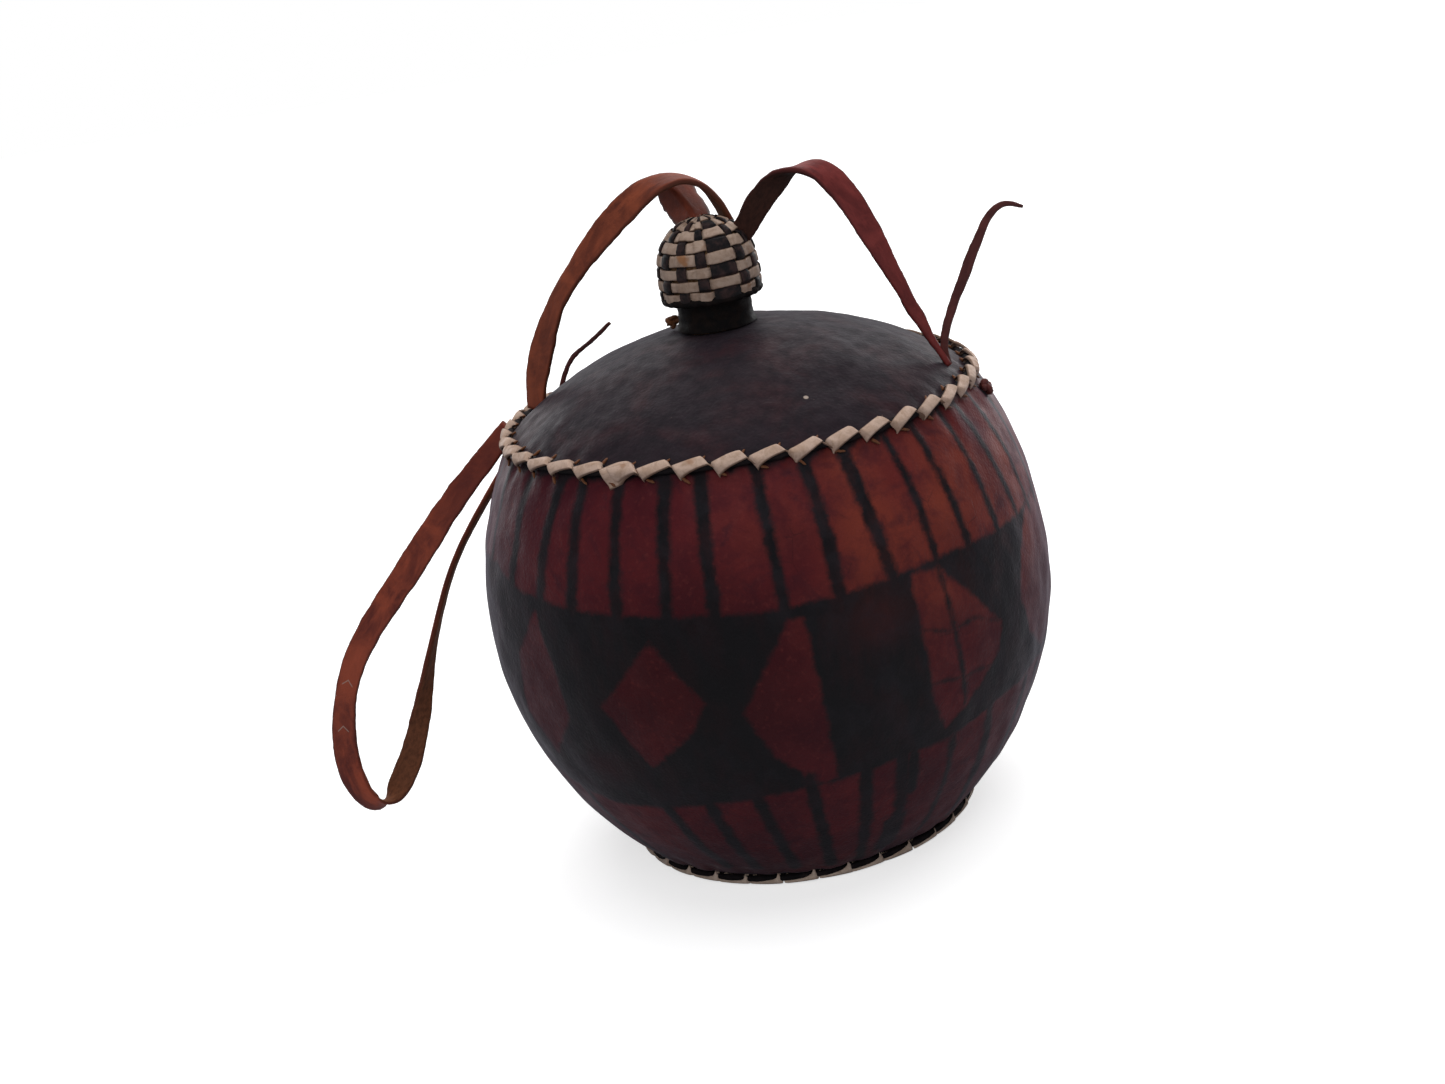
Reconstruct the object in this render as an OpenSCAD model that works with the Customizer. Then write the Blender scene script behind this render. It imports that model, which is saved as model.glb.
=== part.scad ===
// A round rattle made from a dried gourd: three leather covers laced over it, a short wrapped
// neck, a woven stopper that the carrying strap holds captive, and loose seeds inside.
// Origin at the centre of the flat base, +Z up along the gourd's axis, front toward -Y.

/* [Gourd] */
// Diameter at the widest ring
body_d = 150; // [146:1:156]
// Height of the widest ring above the base
equator_z = 64; // [63:1:65]
// Height of the seam between the crown and the side cover
seam_z = 118; // [117:1:119]
// Rise of the crown above its seam
crown_rise = 20.5; // [19.5:0.5:21]
// Wall of the dried gourd
gourd_wall = 4.5; // [3.5:0.5:5]

/* [Leather] */
// Thickness of the covers
leather_t = 1.2; // [1:0.1:1.4]
// Width of the carrying strap
strap_w = 7.5; // [6:0.5:9]
// Thickness of the carrying strap
strap_t = 1.6; // [1.2:0.2:2]
// Diameter of the thin tails beyond the knots
tail_d = 2; // [1.4:0.2:2.4]

/* [Neck] */
// Sideways offset of the neck from the gourd's axis
neck_x = -2; // [-3:1:3]
// Outer diameter of the wrapped neck
neck_d = 19; // [18.4:0.2:20]
// Height of the neck's rim above the base
neck_top_z = 146; // [145:1:147]
// Bore of the neck
bore_d = 11; // [9:0.5:12]

/* [Stopper] */
// Diameter of the woven head
head_d = 26; // [25:0.5:27]
// Height of the woven head
head_h = 20; // [19:0.5:21]
// Length of the plug below the head
plug_l = 20; // [16:1:24]
// Rings of light weft around the head
weft_rings = 7; // [5:1:8]
// Dark warp strips around the head
warp_strips = 14; // [12:2:18]

/* [Lacing] */
// Turns of the lace around the crown's seam
crown_turns = 42; // [36:1:46]
// Turns of the lace around the base's seam
base_turns = 32; // [26:1:34]
// Width of the lace
lace_w = 2.6; // [2:0.2:3]
// Thickness of the lace
lace_t = 0.7; // [0.5:0.1:0.8]
// Diameter of the roll that the lace covers
welt_d = 2.4; // [2:0.2:2.4]

/* [Rattle seeds] */
// Largest diameter of a seed
seed_d = 6; // [4:0.5:6]
// Seeds across one lane's arc
seeds_in_arc = 7; // [3:2:9]

/* [Hidden] */

$fn = 96;
skin_gap = 0.1;            // between the covers and the gourd
part_gap = 0.3;            // between the stopper and what it rests on
upper_h = 83;              // half height of the gourd's curve above the widest ring
upper_p = 2.23;            // its exponent: 2 is an ellipse, more is squarer
lower_h = 83;              // the same below the widest ring
lower_p = 1.8;
outline_steps = 14;        // straight steps in each stretch of the gourd's outline
base_z = 3;                // height of the side cover's lower edge
edge_back = 1.2;           // how far each cover stops short of its seam, for the welt

seam_r = gourd_r(seam_z);
base_r = gourd_r(base_z);
crown_R = (seam_r * seam_r + crown_rise * crown_rise) / (2 * crown_rise);
crown_cz = seam_z + crown_rise - crown_R;
under_skin = leather_t + skin_gap;
inside = under_skin + gourd_wall;
neck_r = neck_d / 2;
collar_r = neck_r - leather_t;
head_r = head_d / 2;
head_z = neck_top_z + part_gap;
head_core_r = head_r - 1.7;
skirt_h = 8;               // the head's straight skirt, under its dome
warp_t = 0.7;
weft_t = 0.8;
seed_axis_z = 72;          // the seeds roll about a line through the gourd's middle
floor_turn_z = base_z + 2.4;    // where the gourd's wall turns into its flat floor
seed_floor_z = gourd_point(floor_turn_z, inside)[1];
lane_step = 16;            // distance between the lanes of seeds
seam_up = 43.5;            // direction in which the crown's seam faces, above the horizontal
base_up = -62;             // the same for the base's seam

// ---------------------------------------------------------------- the gourd's curve

// Radius of the covered gourd at a height above the base
function gourd_r(z) =
    let (h = z - equator_z)
    h > 0 ? curve(h, upper_h, upper_p) : curve(-h, lower_h, lower_p);
function curve(h, height, p) = body_d / 2 * pow(1 - pow(h / height, p), 1 / p);

// Outward direction of that curve
function gourd_out(z) =
    let (h = z - equator_z, up = h > 0,
         height = up ? upper_h : lower_h, p = up ? upper_p : lower_p,
         r = pow(gourd_r(z) / (body_d / 2), p - 1) / (body_d / 2),
         v = pow(abs(h) / height, p - 1) / height * sign(h))
    [r, v] / norm([r, v]);

function gourd_point(z, depth) = [gourd_r(z), z] - depth * gourd_out(z);
function crown_point(r, depth) =
    let (a = asin(r / crown_R))
    [(crown_R - depth) * sin(a), crown_cz + (crown_R - depth) * cos(a)];
function side_line(z0, z1, depth) =
    [for (i = [0 : 2 * outline_steps]) gourd_point(z0 + (z1 - z0) * i / (2 * outline_steps), depth)];
function crown_line(r0, r1, depth) =
    [for (i = [0 : outline_steps]) crown_point(r0 + (r1 - r0) * i / outline_steps, depth)];
function backwards(list) = [for (i = [len(list) - 1 : -1 : 0]) list[i]];

// ---------------------------------------------------------------- sweeps

// One corner of a flat section with half width w and half thickness t
function corner(w, t, k, sides) =
    let (a = (k + 0.5) * 360 / sides, s = 1 / cos(180 / sides))
    (w * cos(a) + t * sin(a)) * s;

// A strip along the points, with its half width and half thickness vectors at each of them
module strip(points, w, t, sides = 8) {
    n = len(points);
    corners = [for (i = [0 : n - 1]) for (k = [0 : sides - 1]) points[i] + corner(w[i], t[i], k, sides)];
    walls = [for (i = [0 : n - 2]) for (k = [0 : sides - 1])
        let (j = i + 1, m = (k + 1) % sides)
        each [[i * sides + k, j * sides + m, i * sides + m], [i * sides + k, j * sides + k, j * sides + m]]];
    ends = [[for (k = [0 : sides - 1]) k], [for (k = [sides - 1 : -1 : 0]) (n - 1) * sides + k]];
    polyhedron(corners, concat(walls, ends), convexity = 8);
}

function unit(v) = v / norm(v);
function along(p, i) = unit(p[min(i + 1, len(p) - 1)] - p[max(i - 1, 0)]);

// A strap that shows its flat side to the direction facing
module strap(points, width, thickness, facing) {
    across = [for (i = [0 : len(points) - 1]) unit(cross(facing, along(points, i)))];
    through = [for (i = [0 : len(points) - 1]) cross(along(points, i), across[i])];
    strip(points, across * width / 2, through * thickness / 2);
}

// A round thong along the points
module thong(points, diameter) {
    strap(points, diameter, diameter, [0, 1, 0.1]);
}

// The turns of a lace over a ring. Between them it runs out of sight, under the covers' edges.
module lacing(turns, ring_r, ring_z, faces_up) {
    half_arc = 85;
    slant = 32;
    inner = welt_d / 2 + 0.1;
    for (i = [0 : turns - 1])
        rotate([0, 0, 360 * i / turns])
            translate([0, -ring_r, ring_z])
                rotate([-faces_up, 0, 0]) rotate([0, slant, 0]) rotate([0, 90, 0]) rotate([0, 0, 270 - half_arc])
                    rotate_extrude(angle = 2 * half_arc, $fn = 48)
                        translate([inner, -lace_w / 2]) square([lace_t, lace_w]);
}

// ---------------------------------------------------------------- the gourd and its covers

module gourd_shell() {
    floor_out = base_z - 1.4;
    color("burlywood")
    difference() {
        rotate_extrude(convexity = 4) polygon(concat(
            [[0, floor_out]],
            side_line(base_z + 0.4, seam_z - 0.5, under_skin),
            crown_line(seam_r - 0.5, 0, under_skin),
            crown_line(0, seam_r - 2, inside),
            side_line(seam_z - 2.5, floor_turn_z, inside),
            [[0, seed_floor_z]]));
        translate([neck_x, 0, crown_cz]) cylinder(r = collar_r + 0.05, h = crown_R + 10);
    }
}

module side_cover() {
    low = base_z + edge_back;
    high = seam_z - edge_back;
    color([0.36, 0.12, 0.12])
    rotate_extrude(convexity = 4)
        polygon(concat(side_line(low, high, 0), backwards(side_line(low, high, leather_t))));
}

module crown_cover() {
    rim = seam_r - edge_back;
    color([0.18, 0.17, 0.20])
    difference() {
        rotate_extrude(convexity = 4)
            polygon(concat(crown_line(rim, 0, 0), crown_line(0, rim, leather_t)));
        translate([neck_x, 0, seam_z]) cylinder(r = collar_r + 0.05, h = 2 * crown_rise);
    }
}

module base_cover() {
    color([0.16, 0.14, 0.15]) cylinder(r = base_r - 3, h = leather_t + 0.3);
}

// Thong stitches that close the side cover up the back
module side_seam_stitches() {
    stitches = 18;
    color("saddlebrown")
    for (i = [0 : stitches - 1]) {
        z = base_z + 8 + (seam_z - base_z - 16) * i / (stitches - 1);
        out = gourd_out(z);
        translate([0, gourd_r(z), z])
            rotate([atan2(out[1], out[0]), 0, 0])
                rotate([0, 25, 0]) cube([7, 1.2, 1.3], center = true);
    }
}

module crown_welt() {
    color([0.13, 0.11, 0.11])
    rotate_extrude() translate([seam_r, seam_z]) circle(d = welt_d, $fn = 24);
}

module crown_lacing() {
    color([0.72, 0.60, 0.50]) lacing(crown_turns, seam_r, seam_z, seam_up);
}

// Ends of the brown thongs that show just below the crown's lace
module crown_stitches() {
    z = seam_z - 4;
    out = gourd_out(z);
    color("sienna")
    for (i = [0 : crown_turns - 1])
        rotate([0, 0, 360 * (i + 0.4) / crown_turns])
            translate([0, -gourd_r(z), z])
                rotate([-atan2(out[1], out[0]), 0, 0]) cube([3, 0.9, 0.9], center = true);
}

module base_welt() {
    color([0.13, 0.11, 0.11])
    rotate_extrude() translate([base_r - 0.6, base_z - 0.2]) circle(d = welt_d, $fn = 24);
}

module base_lacing() {
    color([0.72, 0.60, 0.50]) lacing(base_turns, base_r - 0.6, base_z - 0.2, base_up);
}

// ---------------------------------------------------------------- the neck

module neck_collar() {
    low = seam_z + 6;
    color("peru")
    translate([neck_x, 0, low])
        difference() {
            cylinder(r = collar_r, h = neck_top_z - low);
            translate([0, 0, -1]) cylinder(d = bore_d, h = neck_top_z - low + 2);
        }
}

// Leather wound on the collar, with a foot that follows the crown
module neck_wrap() {
    low = crown_point(0, 0)[1] + 0.05;
    foot_low = crown_point(neck_r + 1.2 - abs(neck_x), 0)[1] + 0.05;
    color([0.08, 0.07, 0.07])
    translate([neck_x, 0, 0])
        rotate_extrude() polygon([
            [collar_r + 0.05, low], [neck_r + 1.2, foot_low], [neck_r + 0.3, low + 1.2],
            [neck_r, low + 3.5], [neck_r - 0.2, neck_top_z], [collar_r + 0.05, neck_top_z]]);
}

// Knotted end of the neck's binding thong, at the back left of its foot
module neck_knot() {
    color("saddlebrown")
    translate([neck_x - 11.4, 5.6, 139.6]) rotate([0, -8, 60]) knot_body(3.4);
}

// ---------------------------------------------------------------- the stopper

// Outline of the head: a straight skirt under a dome
function head_line(r, height) =
    concat([[r, 0]], [for (a = [0 : 10 : 90]) [r * cos(a), skirt_h + (height - skirt_h) * sin(a)]]);

module stopper_plug() {
    color("peru")
    translate([neck_x, 0, head_z - plug_l]) cylinder(r = bore_d / 2 - 0.05, h = plug_l + 6);
}

module stopper_head() {
    color([0.30, 0.20, 0.14])
    translate([neck_x, 0, head_z])
        difference() {
            rotate_extrude() polygon(concat([[0, 0]], head_line(head_core_r, head_h - 1.7)));
            translate([0, 0, -1]) cylinder(d = bore_d - 0.1, h = 7);
        }
}

module stopper_warps() {
    wide = 0.5 * 360 / warp_strips;
    shell = concat(head_line(head_core_r + 0.05 + warp_t, head_h - 1.65 + warp_t),
                   backwards(head_line(head_core_r + 0.05, head_h - 1.65)));
    color([0.12, 0.11, 0.12])
    translate([neck_x, 0, head_z])
        difference() {
            for (i = [0 : warp_strips - 1])
                rotate([0, 0, 360 * i / warp_strips]) rotate_extrude(angle = wide) polygon(shell);
            cylinder(r = 3.5, h = 2 * head_h);
        }
}

module stopper_wefts() {
    low = 1.6;
    step = (head_h - 4.6) / weft_rings;
    inner = head_core_r + 0.1 + warp_t;
    color([0.72, 0.60, 0.50])
    translate([neck_x, 0, head_z])
        for (i = [0 : weft_rings - 1]) {
            z = low + step * i;
            r = z < skirt_h ? inner : inner * cos(asin(min(1, (z - skirt_h) / (head_h - skirt_h - 1))));
            rotate_extrude() translate([max(r, 3), z]) square([weft_t, step - 0.4]);
        }
}

module stopper_rim() {
    color([0.10, 0.09, 0.09])
    translate([neck_x, 0, head_z + 0.1])
        rotate_extrude() translate([head_r - 0.6, 0]) circle(d = 2.6, $fn = 24);
}

// ---------------------------------------------------------------- straps, tails and knots

// Routes, in millimetres, from the crown or from the stopper outward
LEFT_ARCH = [[-53, 9, 122], [-52, 9, 127], [-50, 9, 133], [-47, 8, 140], [-45, 7, 145],
    [-42, 6, 150], [-38, 5, 155], [-33, 4, 160], [-28, 3, 164], [-23, 2, 168], [-18, 1, 172],
    [-12, 0, 175], [-6, 0, 176], [-1, 2, 174], [2, 5, 168]];
RIGHT_ARCH = [[54, -15, 121], [51, -15, 127], [48, -14, 132], [46, -14, 138],
    [43, -13, 144], [41, -12, 152], [38, -11, 160], [35, -10, 167], [32, -9, 172], [28, -8, 175],
    [23, -7, 175], [19, -5, 174], [15, -4, 171], [11, -3, 165]];
TONGUE = [[-4, -3, 163], [-7, 1, 167], [-9, 4, 170], [-11, 6, 173], [-13, 7, 177]];
LOOP = [[-61, 10, 118], [-67, 12, 113], [-75, 13, 106], [-83, 15, 99], [-90, 16, 91],
    [-98, 17, 83], [-107, 19, 74], [-114, 20, 66], [-119, 21, 59], [-123, 22, 48],
    [-126, 22, 36], [-127, 22, 26], [-125, 22, 17], [-121, 22, 12], [-115, 23, 15],
    [-110, 24, 22], [-106, 25, 30], [-103, 26, 40], [-100, 27, 48], [-97, 28, 57],
    [-94, 29, 65], [-91, 30, 73], [-86, 31, 81], [-81, 32, 89], [-76, 33, 94],
    [-71, 35, 99], [-62, 37, 109], [-51, 36, 118]];
RIGHT_TAIL = [[55, -13, 121], [54, -13, 125], [56, -13, 131], [58, -13, 137], [61, -13, 143],
    [64, -13, 149], [67, -13, 155], [70, -13, 158], [73, -13, 159], [77, -13, 156]];
LEFT_TAIL = [[-50, 36, 115], [-47, 37, 119], [-46, 37, 123], [-44, 37, 127], [-41, 36, 130], [-37, 34, 132],
    [-34, 32, 134], [-31, 31, 137]];
toward_back = [0, 1, 0];

module strap_left_arch() {
    color([0.45, 0.20, 0.11]) strap(LEFT_ARCH, strap_w, strap_t, toward_back);
}

module strap_right_arch() {
    color([0.42, 0.17, 0.12]) strap(RIGHT_ARCH, strap_w, strap_t, toward_back);
}

module strap_tongue() {
    color([0.45, 0.20, 0.11]) strap(TONGUE, strap_w, strap_t, toward_back);
}

module carrying_loop() {
    color([0.42, 0.17, 0.12]) strap(LOOP, strap_w, strap_t, toward_back);
}

module right_tail() {
    color([0.35, 0.13, 0.10]) thong(RIGHT_TAIL, tail_d);
}

module left_tail() {
    color([0.35, 0.15, 0.09]) thong(LEFT_TAIL, tail_d);
}

// A tied knot: a ring around a short bar
module knot_body(size) {
    rotate([0, 90, 0]) rotate_extrude() translate([size * 0.32, 0]) circle(d = size * 0.5, $fn = 24);
    rotate([0, 90, 0]) cylinder(d = size * 0.5, h = size * 1.6, center = true, $fn = 24);
}

// A knot against the side cover, at a turn from the front and a height
module side_knot(turn, z, size) {
    out = gourd_out(z);
    rotate([0, 0, turn])
        translate([0, -gourd_r(z), z])
            rotate([-atan2(out[1], out[0]), 0, 0])
                translate([0, -size * 0.42, 0]) knot_body(size);
}

module right_knot() {
    color([0.30, 0.09, 0.09]) side_knot(86, 113.5, 5);
}

module left_knot() {
    color([0.30, 0.13, 0.08]) side_knot(-122, 113.5, 5);
}

// ---------------------------------------------------------------- the seeds

// A lane of seeds in a shallow heap on the gourd's floor. It rolls about the line at seed_axis_z.
module seed_lane(x) {
    swing = seed_axis_z - seed_floor_z - part_gap;
    step = 7.6;
    color("olivedrab") {
        for (i = [0 : seeds_in_arc - 1]) {
            d = seed_d * (i % 3 == 0 ? 1 : i % 3 == 1 ? 0.88 : 0.94);
            a = (i - (seeds_in_arc - 1) / 2) * step;
            side = 2.5 * sin(140 * i + 5 * x);
            translate([x + side, 0, seed_axis_z])
                rotate([a, 0, 0]) translate([0, 0, d / 2 - swing]) sphere(d = d, $fn = 32);
        }
        for (i = [0 : seeds_in_arc - 4]) {
            d = 0.9 * seed_d;
            a = (i - (seeds_in_arc - 4) / 2) * step * 1.1;
            side = 2 * sin(200 * i + 3 * x);
            translate([x + side, 0, seed_axis_z])
                rotate([a, 0, 0]) translate([0, 0, d / 2 + seed_d + 0.3 - swing]) sphere(d = d, $fn = 32);
        }
    }
}

module seeds_left() {
    seed_lane(-lane_step);
}

module seeds_middle() {
    seed_lane(0);
}

module seeds_right() {
    seed_lane(lane_step);
}

gourd_shell();
side_cover();
crown_cover();
base_cover();
side_seam_stitches();
crown_welt();
crown_lacing();
crown_stitches();
base_welt();
base_lacing();
neck_collar();
neck_wrap();
neck_knot();
stopper_plug();
stopper_head();
stopper_warps();
stopper_wefts();
stopper_rim();
strap_left_arch();
strap_right_arch();
strap_tongue();
carrying_loop();
right_tail();
right_knot();
left_tail();
left_knot();
seeds_left();
seeds_middle();
seeds_right();
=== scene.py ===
"""A round gourd rattle under laced, hand-painted leather: its looks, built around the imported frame.

Lengths are in millimetres until new_piece() turns them into metres.
Azimuth 0 is the front of the rattle, toward -Y, and it grows toward +X.
"""
import math

import bpy
import numpy as np
from mathutils import Matrix, Vector


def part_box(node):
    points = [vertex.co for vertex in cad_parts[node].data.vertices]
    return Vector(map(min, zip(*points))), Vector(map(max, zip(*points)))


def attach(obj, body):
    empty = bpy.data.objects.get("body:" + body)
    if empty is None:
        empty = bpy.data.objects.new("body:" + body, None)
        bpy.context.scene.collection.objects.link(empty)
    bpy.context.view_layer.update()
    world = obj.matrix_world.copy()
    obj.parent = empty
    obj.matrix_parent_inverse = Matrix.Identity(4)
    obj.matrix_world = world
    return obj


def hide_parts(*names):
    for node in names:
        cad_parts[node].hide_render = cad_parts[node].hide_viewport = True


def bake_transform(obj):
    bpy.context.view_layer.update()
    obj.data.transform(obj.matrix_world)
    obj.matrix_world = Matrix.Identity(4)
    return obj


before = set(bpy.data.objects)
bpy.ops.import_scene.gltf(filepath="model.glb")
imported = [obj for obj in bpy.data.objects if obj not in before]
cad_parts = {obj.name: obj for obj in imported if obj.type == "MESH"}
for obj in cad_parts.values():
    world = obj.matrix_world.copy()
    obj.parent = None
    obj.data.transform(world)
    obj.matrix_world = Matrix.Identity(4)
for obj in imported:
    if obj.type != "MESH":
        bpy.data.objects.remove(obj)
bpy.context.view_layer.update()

MM = 0.001


# -------- sizes taken from the frame

def box_mm(node):
    """Lowest and highest corner of a CAD node."""
    low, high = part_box(node)
    return np.array(low) / MM, np.array(high) / MM


def ring_of(node):
    """Radius and height of the ring that a CAD torus follows, and the radius of its tube."""
    low, high = box_mm(node)
    tube = (high[2] - low[2]) / 2
    return high[0] - tube, low[2] + tube, tube


LEATHER_T = 1.2
STRAP_T = 1.6
CROWN_TURNS = 42
BASE_TURNS = 32
BODY_R = box_mm("side_cover")[1][0]
EQUATOR_Z = 64.0
UPPER_CURVE = (83.0, 2.23)
LOWER_CURVE = (83.0, 1.8)
SEAM_R, SEAM_Z, WELT_R = ring_of("crown_welt")
BASE_R = ring_of("base_welt")[0]
LOW_RING_R = BASE_R - 0.3
LOW_RING_Z = 1.85
CROWN_RISE = 20.5
CROWN_SPHERE = (SEAM_R ** 2 + CROWN_RISE ** 2) / (2 * CROWN_RISE)
CROWN_CENTRE = SEAM_Z + CROWN_RISE - CROWN_SPHERE
COLLAR_LOW, COLLAR_HIGH = box_mm("neck_collar")
NECK_X = (COLLAR_LOW[0] + COLLAR_HIGH[0]) / 2
COLLAR_R = COLLAR_HIGH[0] - NECK_X
NECK_R = COLLAR_R + LEATHER_T
NECK_TOP = COLLAR_HIGH[2]
HEAD_LOW, HEAD_HIGH = box_mm("stopper_head")
HEAD_CORE_R = HEAD_HIGH[0] - NECK_X
HEAD_Z = HEAD_LOW[2]
HEAD_CORE_H = HEAD_HIGH[2] - HEAD_Z
HEAD_SKIRT = 8.0
HEAD_DOME = HEAD_CORE_H - HEAD_SKIRT
RIM_LOW, RIM_HIGH = box_mm("stopper_rim")


# -------- the gourd's curve

def half_curve(h, size, power):
    """Radius at a height above or below the widest ring, on a rounded curve of a given size."""
    return BODY_R * np.maximum(1 - np.maximum(h, 0) ** power / size ** power, 0) ** (1 / power)


def gourd_r(z):
    """Radius of the covered gourd at a height."""
    h = np.asarray(z, float) - EQUATOR_Z
    return np.where(h > 0, half_curve(h, *UPPER_CURVE), half_curve(-h, *LOWER_CURVE))


def gourd_out(z):
    """Outward direction of that curve, as (radial, up)."""
    z = np.asarray(z, float)
    step = 0.05
    slope = (gourd_r(z + step) - gourd_r(z - step)) / (2 * step)
    size = np.sqrt(1 + slope ** 2)
    return 1 / size, -slope / size


def degree_mm(z):
    """Length of one degree of the way round the gourd, at a height."""
    return gourd_r(z) * math.radians(1)


def crown_z(r):
    """Height of the crown at a distance from the gourd's axis."""
    return CROWN_CENTRE + np.sqrt(CROWN_SPHERE ** 2 - np.asarray(r, float) ** 2)


def points_at(x, y, z):
    """Points whose coordinates are given one by one, or as grids that fit together."""
    return np.stack(np.broadcast_arrays(x, y, z), -1)


def at_azimuth(azimuth, r, z):
    """Points at azimuths in degrees, distances from the axis and heights."""
    a = np.radians(azimuth)
    return points_at(r * np.sin(a), -r * np.cos(a), z)


def round_neck(azimuth, r, z):
    """The same, with distances from the middle of the neck."""
    return at_azimuth(azimuth, r, z) + (NECK_X, 0, 0)


def on_gourd(azimuth, z, lift):
    """Points on the gourd's curve, lifted off it."""
    radial, up = gourd_out(z)
    return at_azimuth(azimuth, gourd_r(z) + lift * radial, z + lift * up)


def turn_from(azimuth, centre):
    """Difference of two azimuths, from -180 to 180 degrees."""
    return (azimuth - centre + 180) % 360 - 180


def round_grid(columns, rows, first, last):
    """Azimuths all round, and a second value that goes from first to last, for a grid of points."""
    return np.meshgrid(np.linspace(0, 360, columns, endpoint=False), np.linspace(first, last, rows))


def roll_grid(columns, sides):
    """Azimuths round a ring and angles in radians round its tube, for a grid of points."""
    around = np.linspace(0, 2 * np.pi, sides, endpoint=False)
    around, azimuth = np.meshgrid(around, np.linspace(0, 360, columns, endpoint=False))
    return azimuth, around


def ripple(points, wavelength, seed):
    """Smooth random values of about -1 to 1 at the points, with swells about a wavelength apart."""
    waves = 14
    rng = np.random.default_rng(seed)
    points = np.asarray(points, float)
    directions = rng.normal(size=(waves, points.shape[-1]))
    directions /= np.linalg.norm(directions, axis=1)[:, None]
    rates = 2 * np.pi / wavelength * rng.uniform(0.6, 1.5, waves)
    phases = rng.uniform(0, 2 * np.pi, waves)
    return np.sin(points @ (directions * rates[:, None]).T + phases).sum(-1) / math.sqrt(waves)


def flat_ripple(x, y, wavelength, seed):
    """The same for points with two coordinates."""
    return ripple(points_at(x, y, 0)[..., :2], wavelength, seed)


def swells(points, *layers):
    """Ripples added up, each given as its height, wavelength and seed."""
    return sum(height * ripple(points, wavelength, seed) for height, wavelength, seed in layers)


def bell(away, reach):
    """1 in the middle, fading out over about reach to each side."""
    return np.exp(-(away / reach) ** 2)


# -------- camera, floor and light

CAMERA_TILT = math.radians(19.4)
CAMERA_ROLL = math.radians(9.6)
CAMERA_DISTANCE = 0.54
CAMERA_AIM = Vector((0, 0, EQUATOR_Z * MM))
TOWARD_CAMERA = (0.0, -math.cos(CAMERA_TILT), math.sin(CAMERA_TILT))


def make_camera():
    camera = bpy.data.objects.new("camera", bpy.data.cameras.new("camera"))
    forward = Vector((0, math.cos(CAMERA_TILT), -math.sin(CAMERA_TILT)))
    level = Vector((1, 0, 0))
    steep = Vector((0, math.sin(CAMERA_TILT), math.cos(CAMERA_TILT)))
    right = math.cos(CAMERA_ROLL) * level - math.sin(CAMERA_ROLL) * steep
    up = math.sin(CAMERA_ROLL) * level + math.cos(CAMERA_ROLL) * steep
    pose = Matrix((right, up, -forward)).transposed().to_4x4()
    pose.translation = CAMERA_AIM - forward * CAMERA_DISTANCE
    camera.matrix_world = pose
    camera.data.lens = 50
    camera.data.sensor_width = 36
    camera.data.shift_x = -0.0333
    camera.data.shift_y = 0.0340
    camera.data.clip_start = 0.01
    bpy.context.scene.collection.objects.link(camera)
    bpy.context.scene.camera = camera


def camera_sees(tree, seen, others, end):
    """Shows one shader to the camera and another to the rest of the scene."""
    path = tree.nodes.new("ShaderNodeLightPath")
    mix = tree.nodes.new("ShaderNodeMixShader")
    tree.links.new(path.outputs["Is Camera Ray"], mix.inputs[0])
    tree.links.new(others.outputs[0], mix.inputs[1])
    tree.links.new(seen.outputs[0], mix.inputs[2])
    tree.links.new(mix.outputs[0], tree.nodes[end].inputs["Surface"])


def shader(tree, kind, **values):
    """A new shader node with its values set."""
    made = tree.nodes.new("ShaderNode" + kind)
    for key, value in values.items():
        made.inputs[key].default_value = value
    return made


def floor_paint():
    """White paint that keeps a soft shadow, and throws only a little light back at the gourd."""
    paint = bpy.data.materials.new("floor_white")
    paint.use_nodes = True
    tree = paint.node_tree
    dull = tree.nodes["Principled BSDF"]
    dull.inputs["Base Color"].default_value = (0.34, 0.34, 0.36, 1)
    dull.inputs["Roughness"].default_value = 0.9
    dull.inputs["Specular IOR Level"].default_value = 0.1
    white = shader(tree, "BsdfDiffuse", Color=(0.8, 0.8, 0.8, 1))
    glow = shader(tree, "Emission", Color=(1, 1, 1, 1), Strength=0.62)
    bright = shader(tree, "AddShader")
    tree.links.new(white.outputs[0], bright.inputs[0])
    tree.links.new(glow.outputs[0], bright.inputs[1])
    camera_sees(tree, bright, dull, "Material Output")
    return paint


def make_floor():
    mesh = bpy.data.meshes.new("floor")
    half = 3.0
    corners = [(-half, -half, 0), (half, -half, 0), (half, half, 0), (-half, half, 0)]
    mesh.from_pydata(corners, [], [(0, 1, 2, 3)])
    mesh.materials.append(floor_paint())
    floor = bpy.data.objects.new("floor", mesh)
    bpy.context.scene.collection.objects.link(floor)


def make_lamp(name, kind, power, gloss):
    """A lamp. Without gloss it lights but doesn't show as a reflection."""
    data = bpy.data.lights.new(name, kind)
    data.energy = power
    lamp = bpy.data.objects.new(name, data)
    lamp.visible_glossy = gloss
    bpy.context.scene.collection.objects.link(lamp)
    return lamp


def make_softbox(name, place, size, power, gloss=True):
    """A square area light that faces the gourd."""
    lamp = make_lamp(name, "AREA", power, gloss)
    lamp.data.shape = "SQUARE"
    lamp.data.size = size
    lamp.location = place
    aim = CAMERA_AIM - Vector(place)
    lamp.rotation_euler = aim.to_track_quat("-Z", "Y").to_euler()
    lamp.visible_camera = False


def make_room():
    """A white room for the camera, which lights the rattle only a little."""
    world = bpy.data.worlds.new("white_room")
    bpy.context.scene.world = world
    world.use_nodes = True
    seen = world.node_tree.nodes["Background"]
    seen.inputs["Strength"].default_value = 1.0
    seen.inputs["Color"].default_value = (1, 1, 1, 1)
    lights = shader(world.node_tree, "Background", Color=(0.92, 0.93, 1, 1), Strength=0.15)
    camera_sees(world.node_tree, seen, lights, "World Output")


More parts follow.
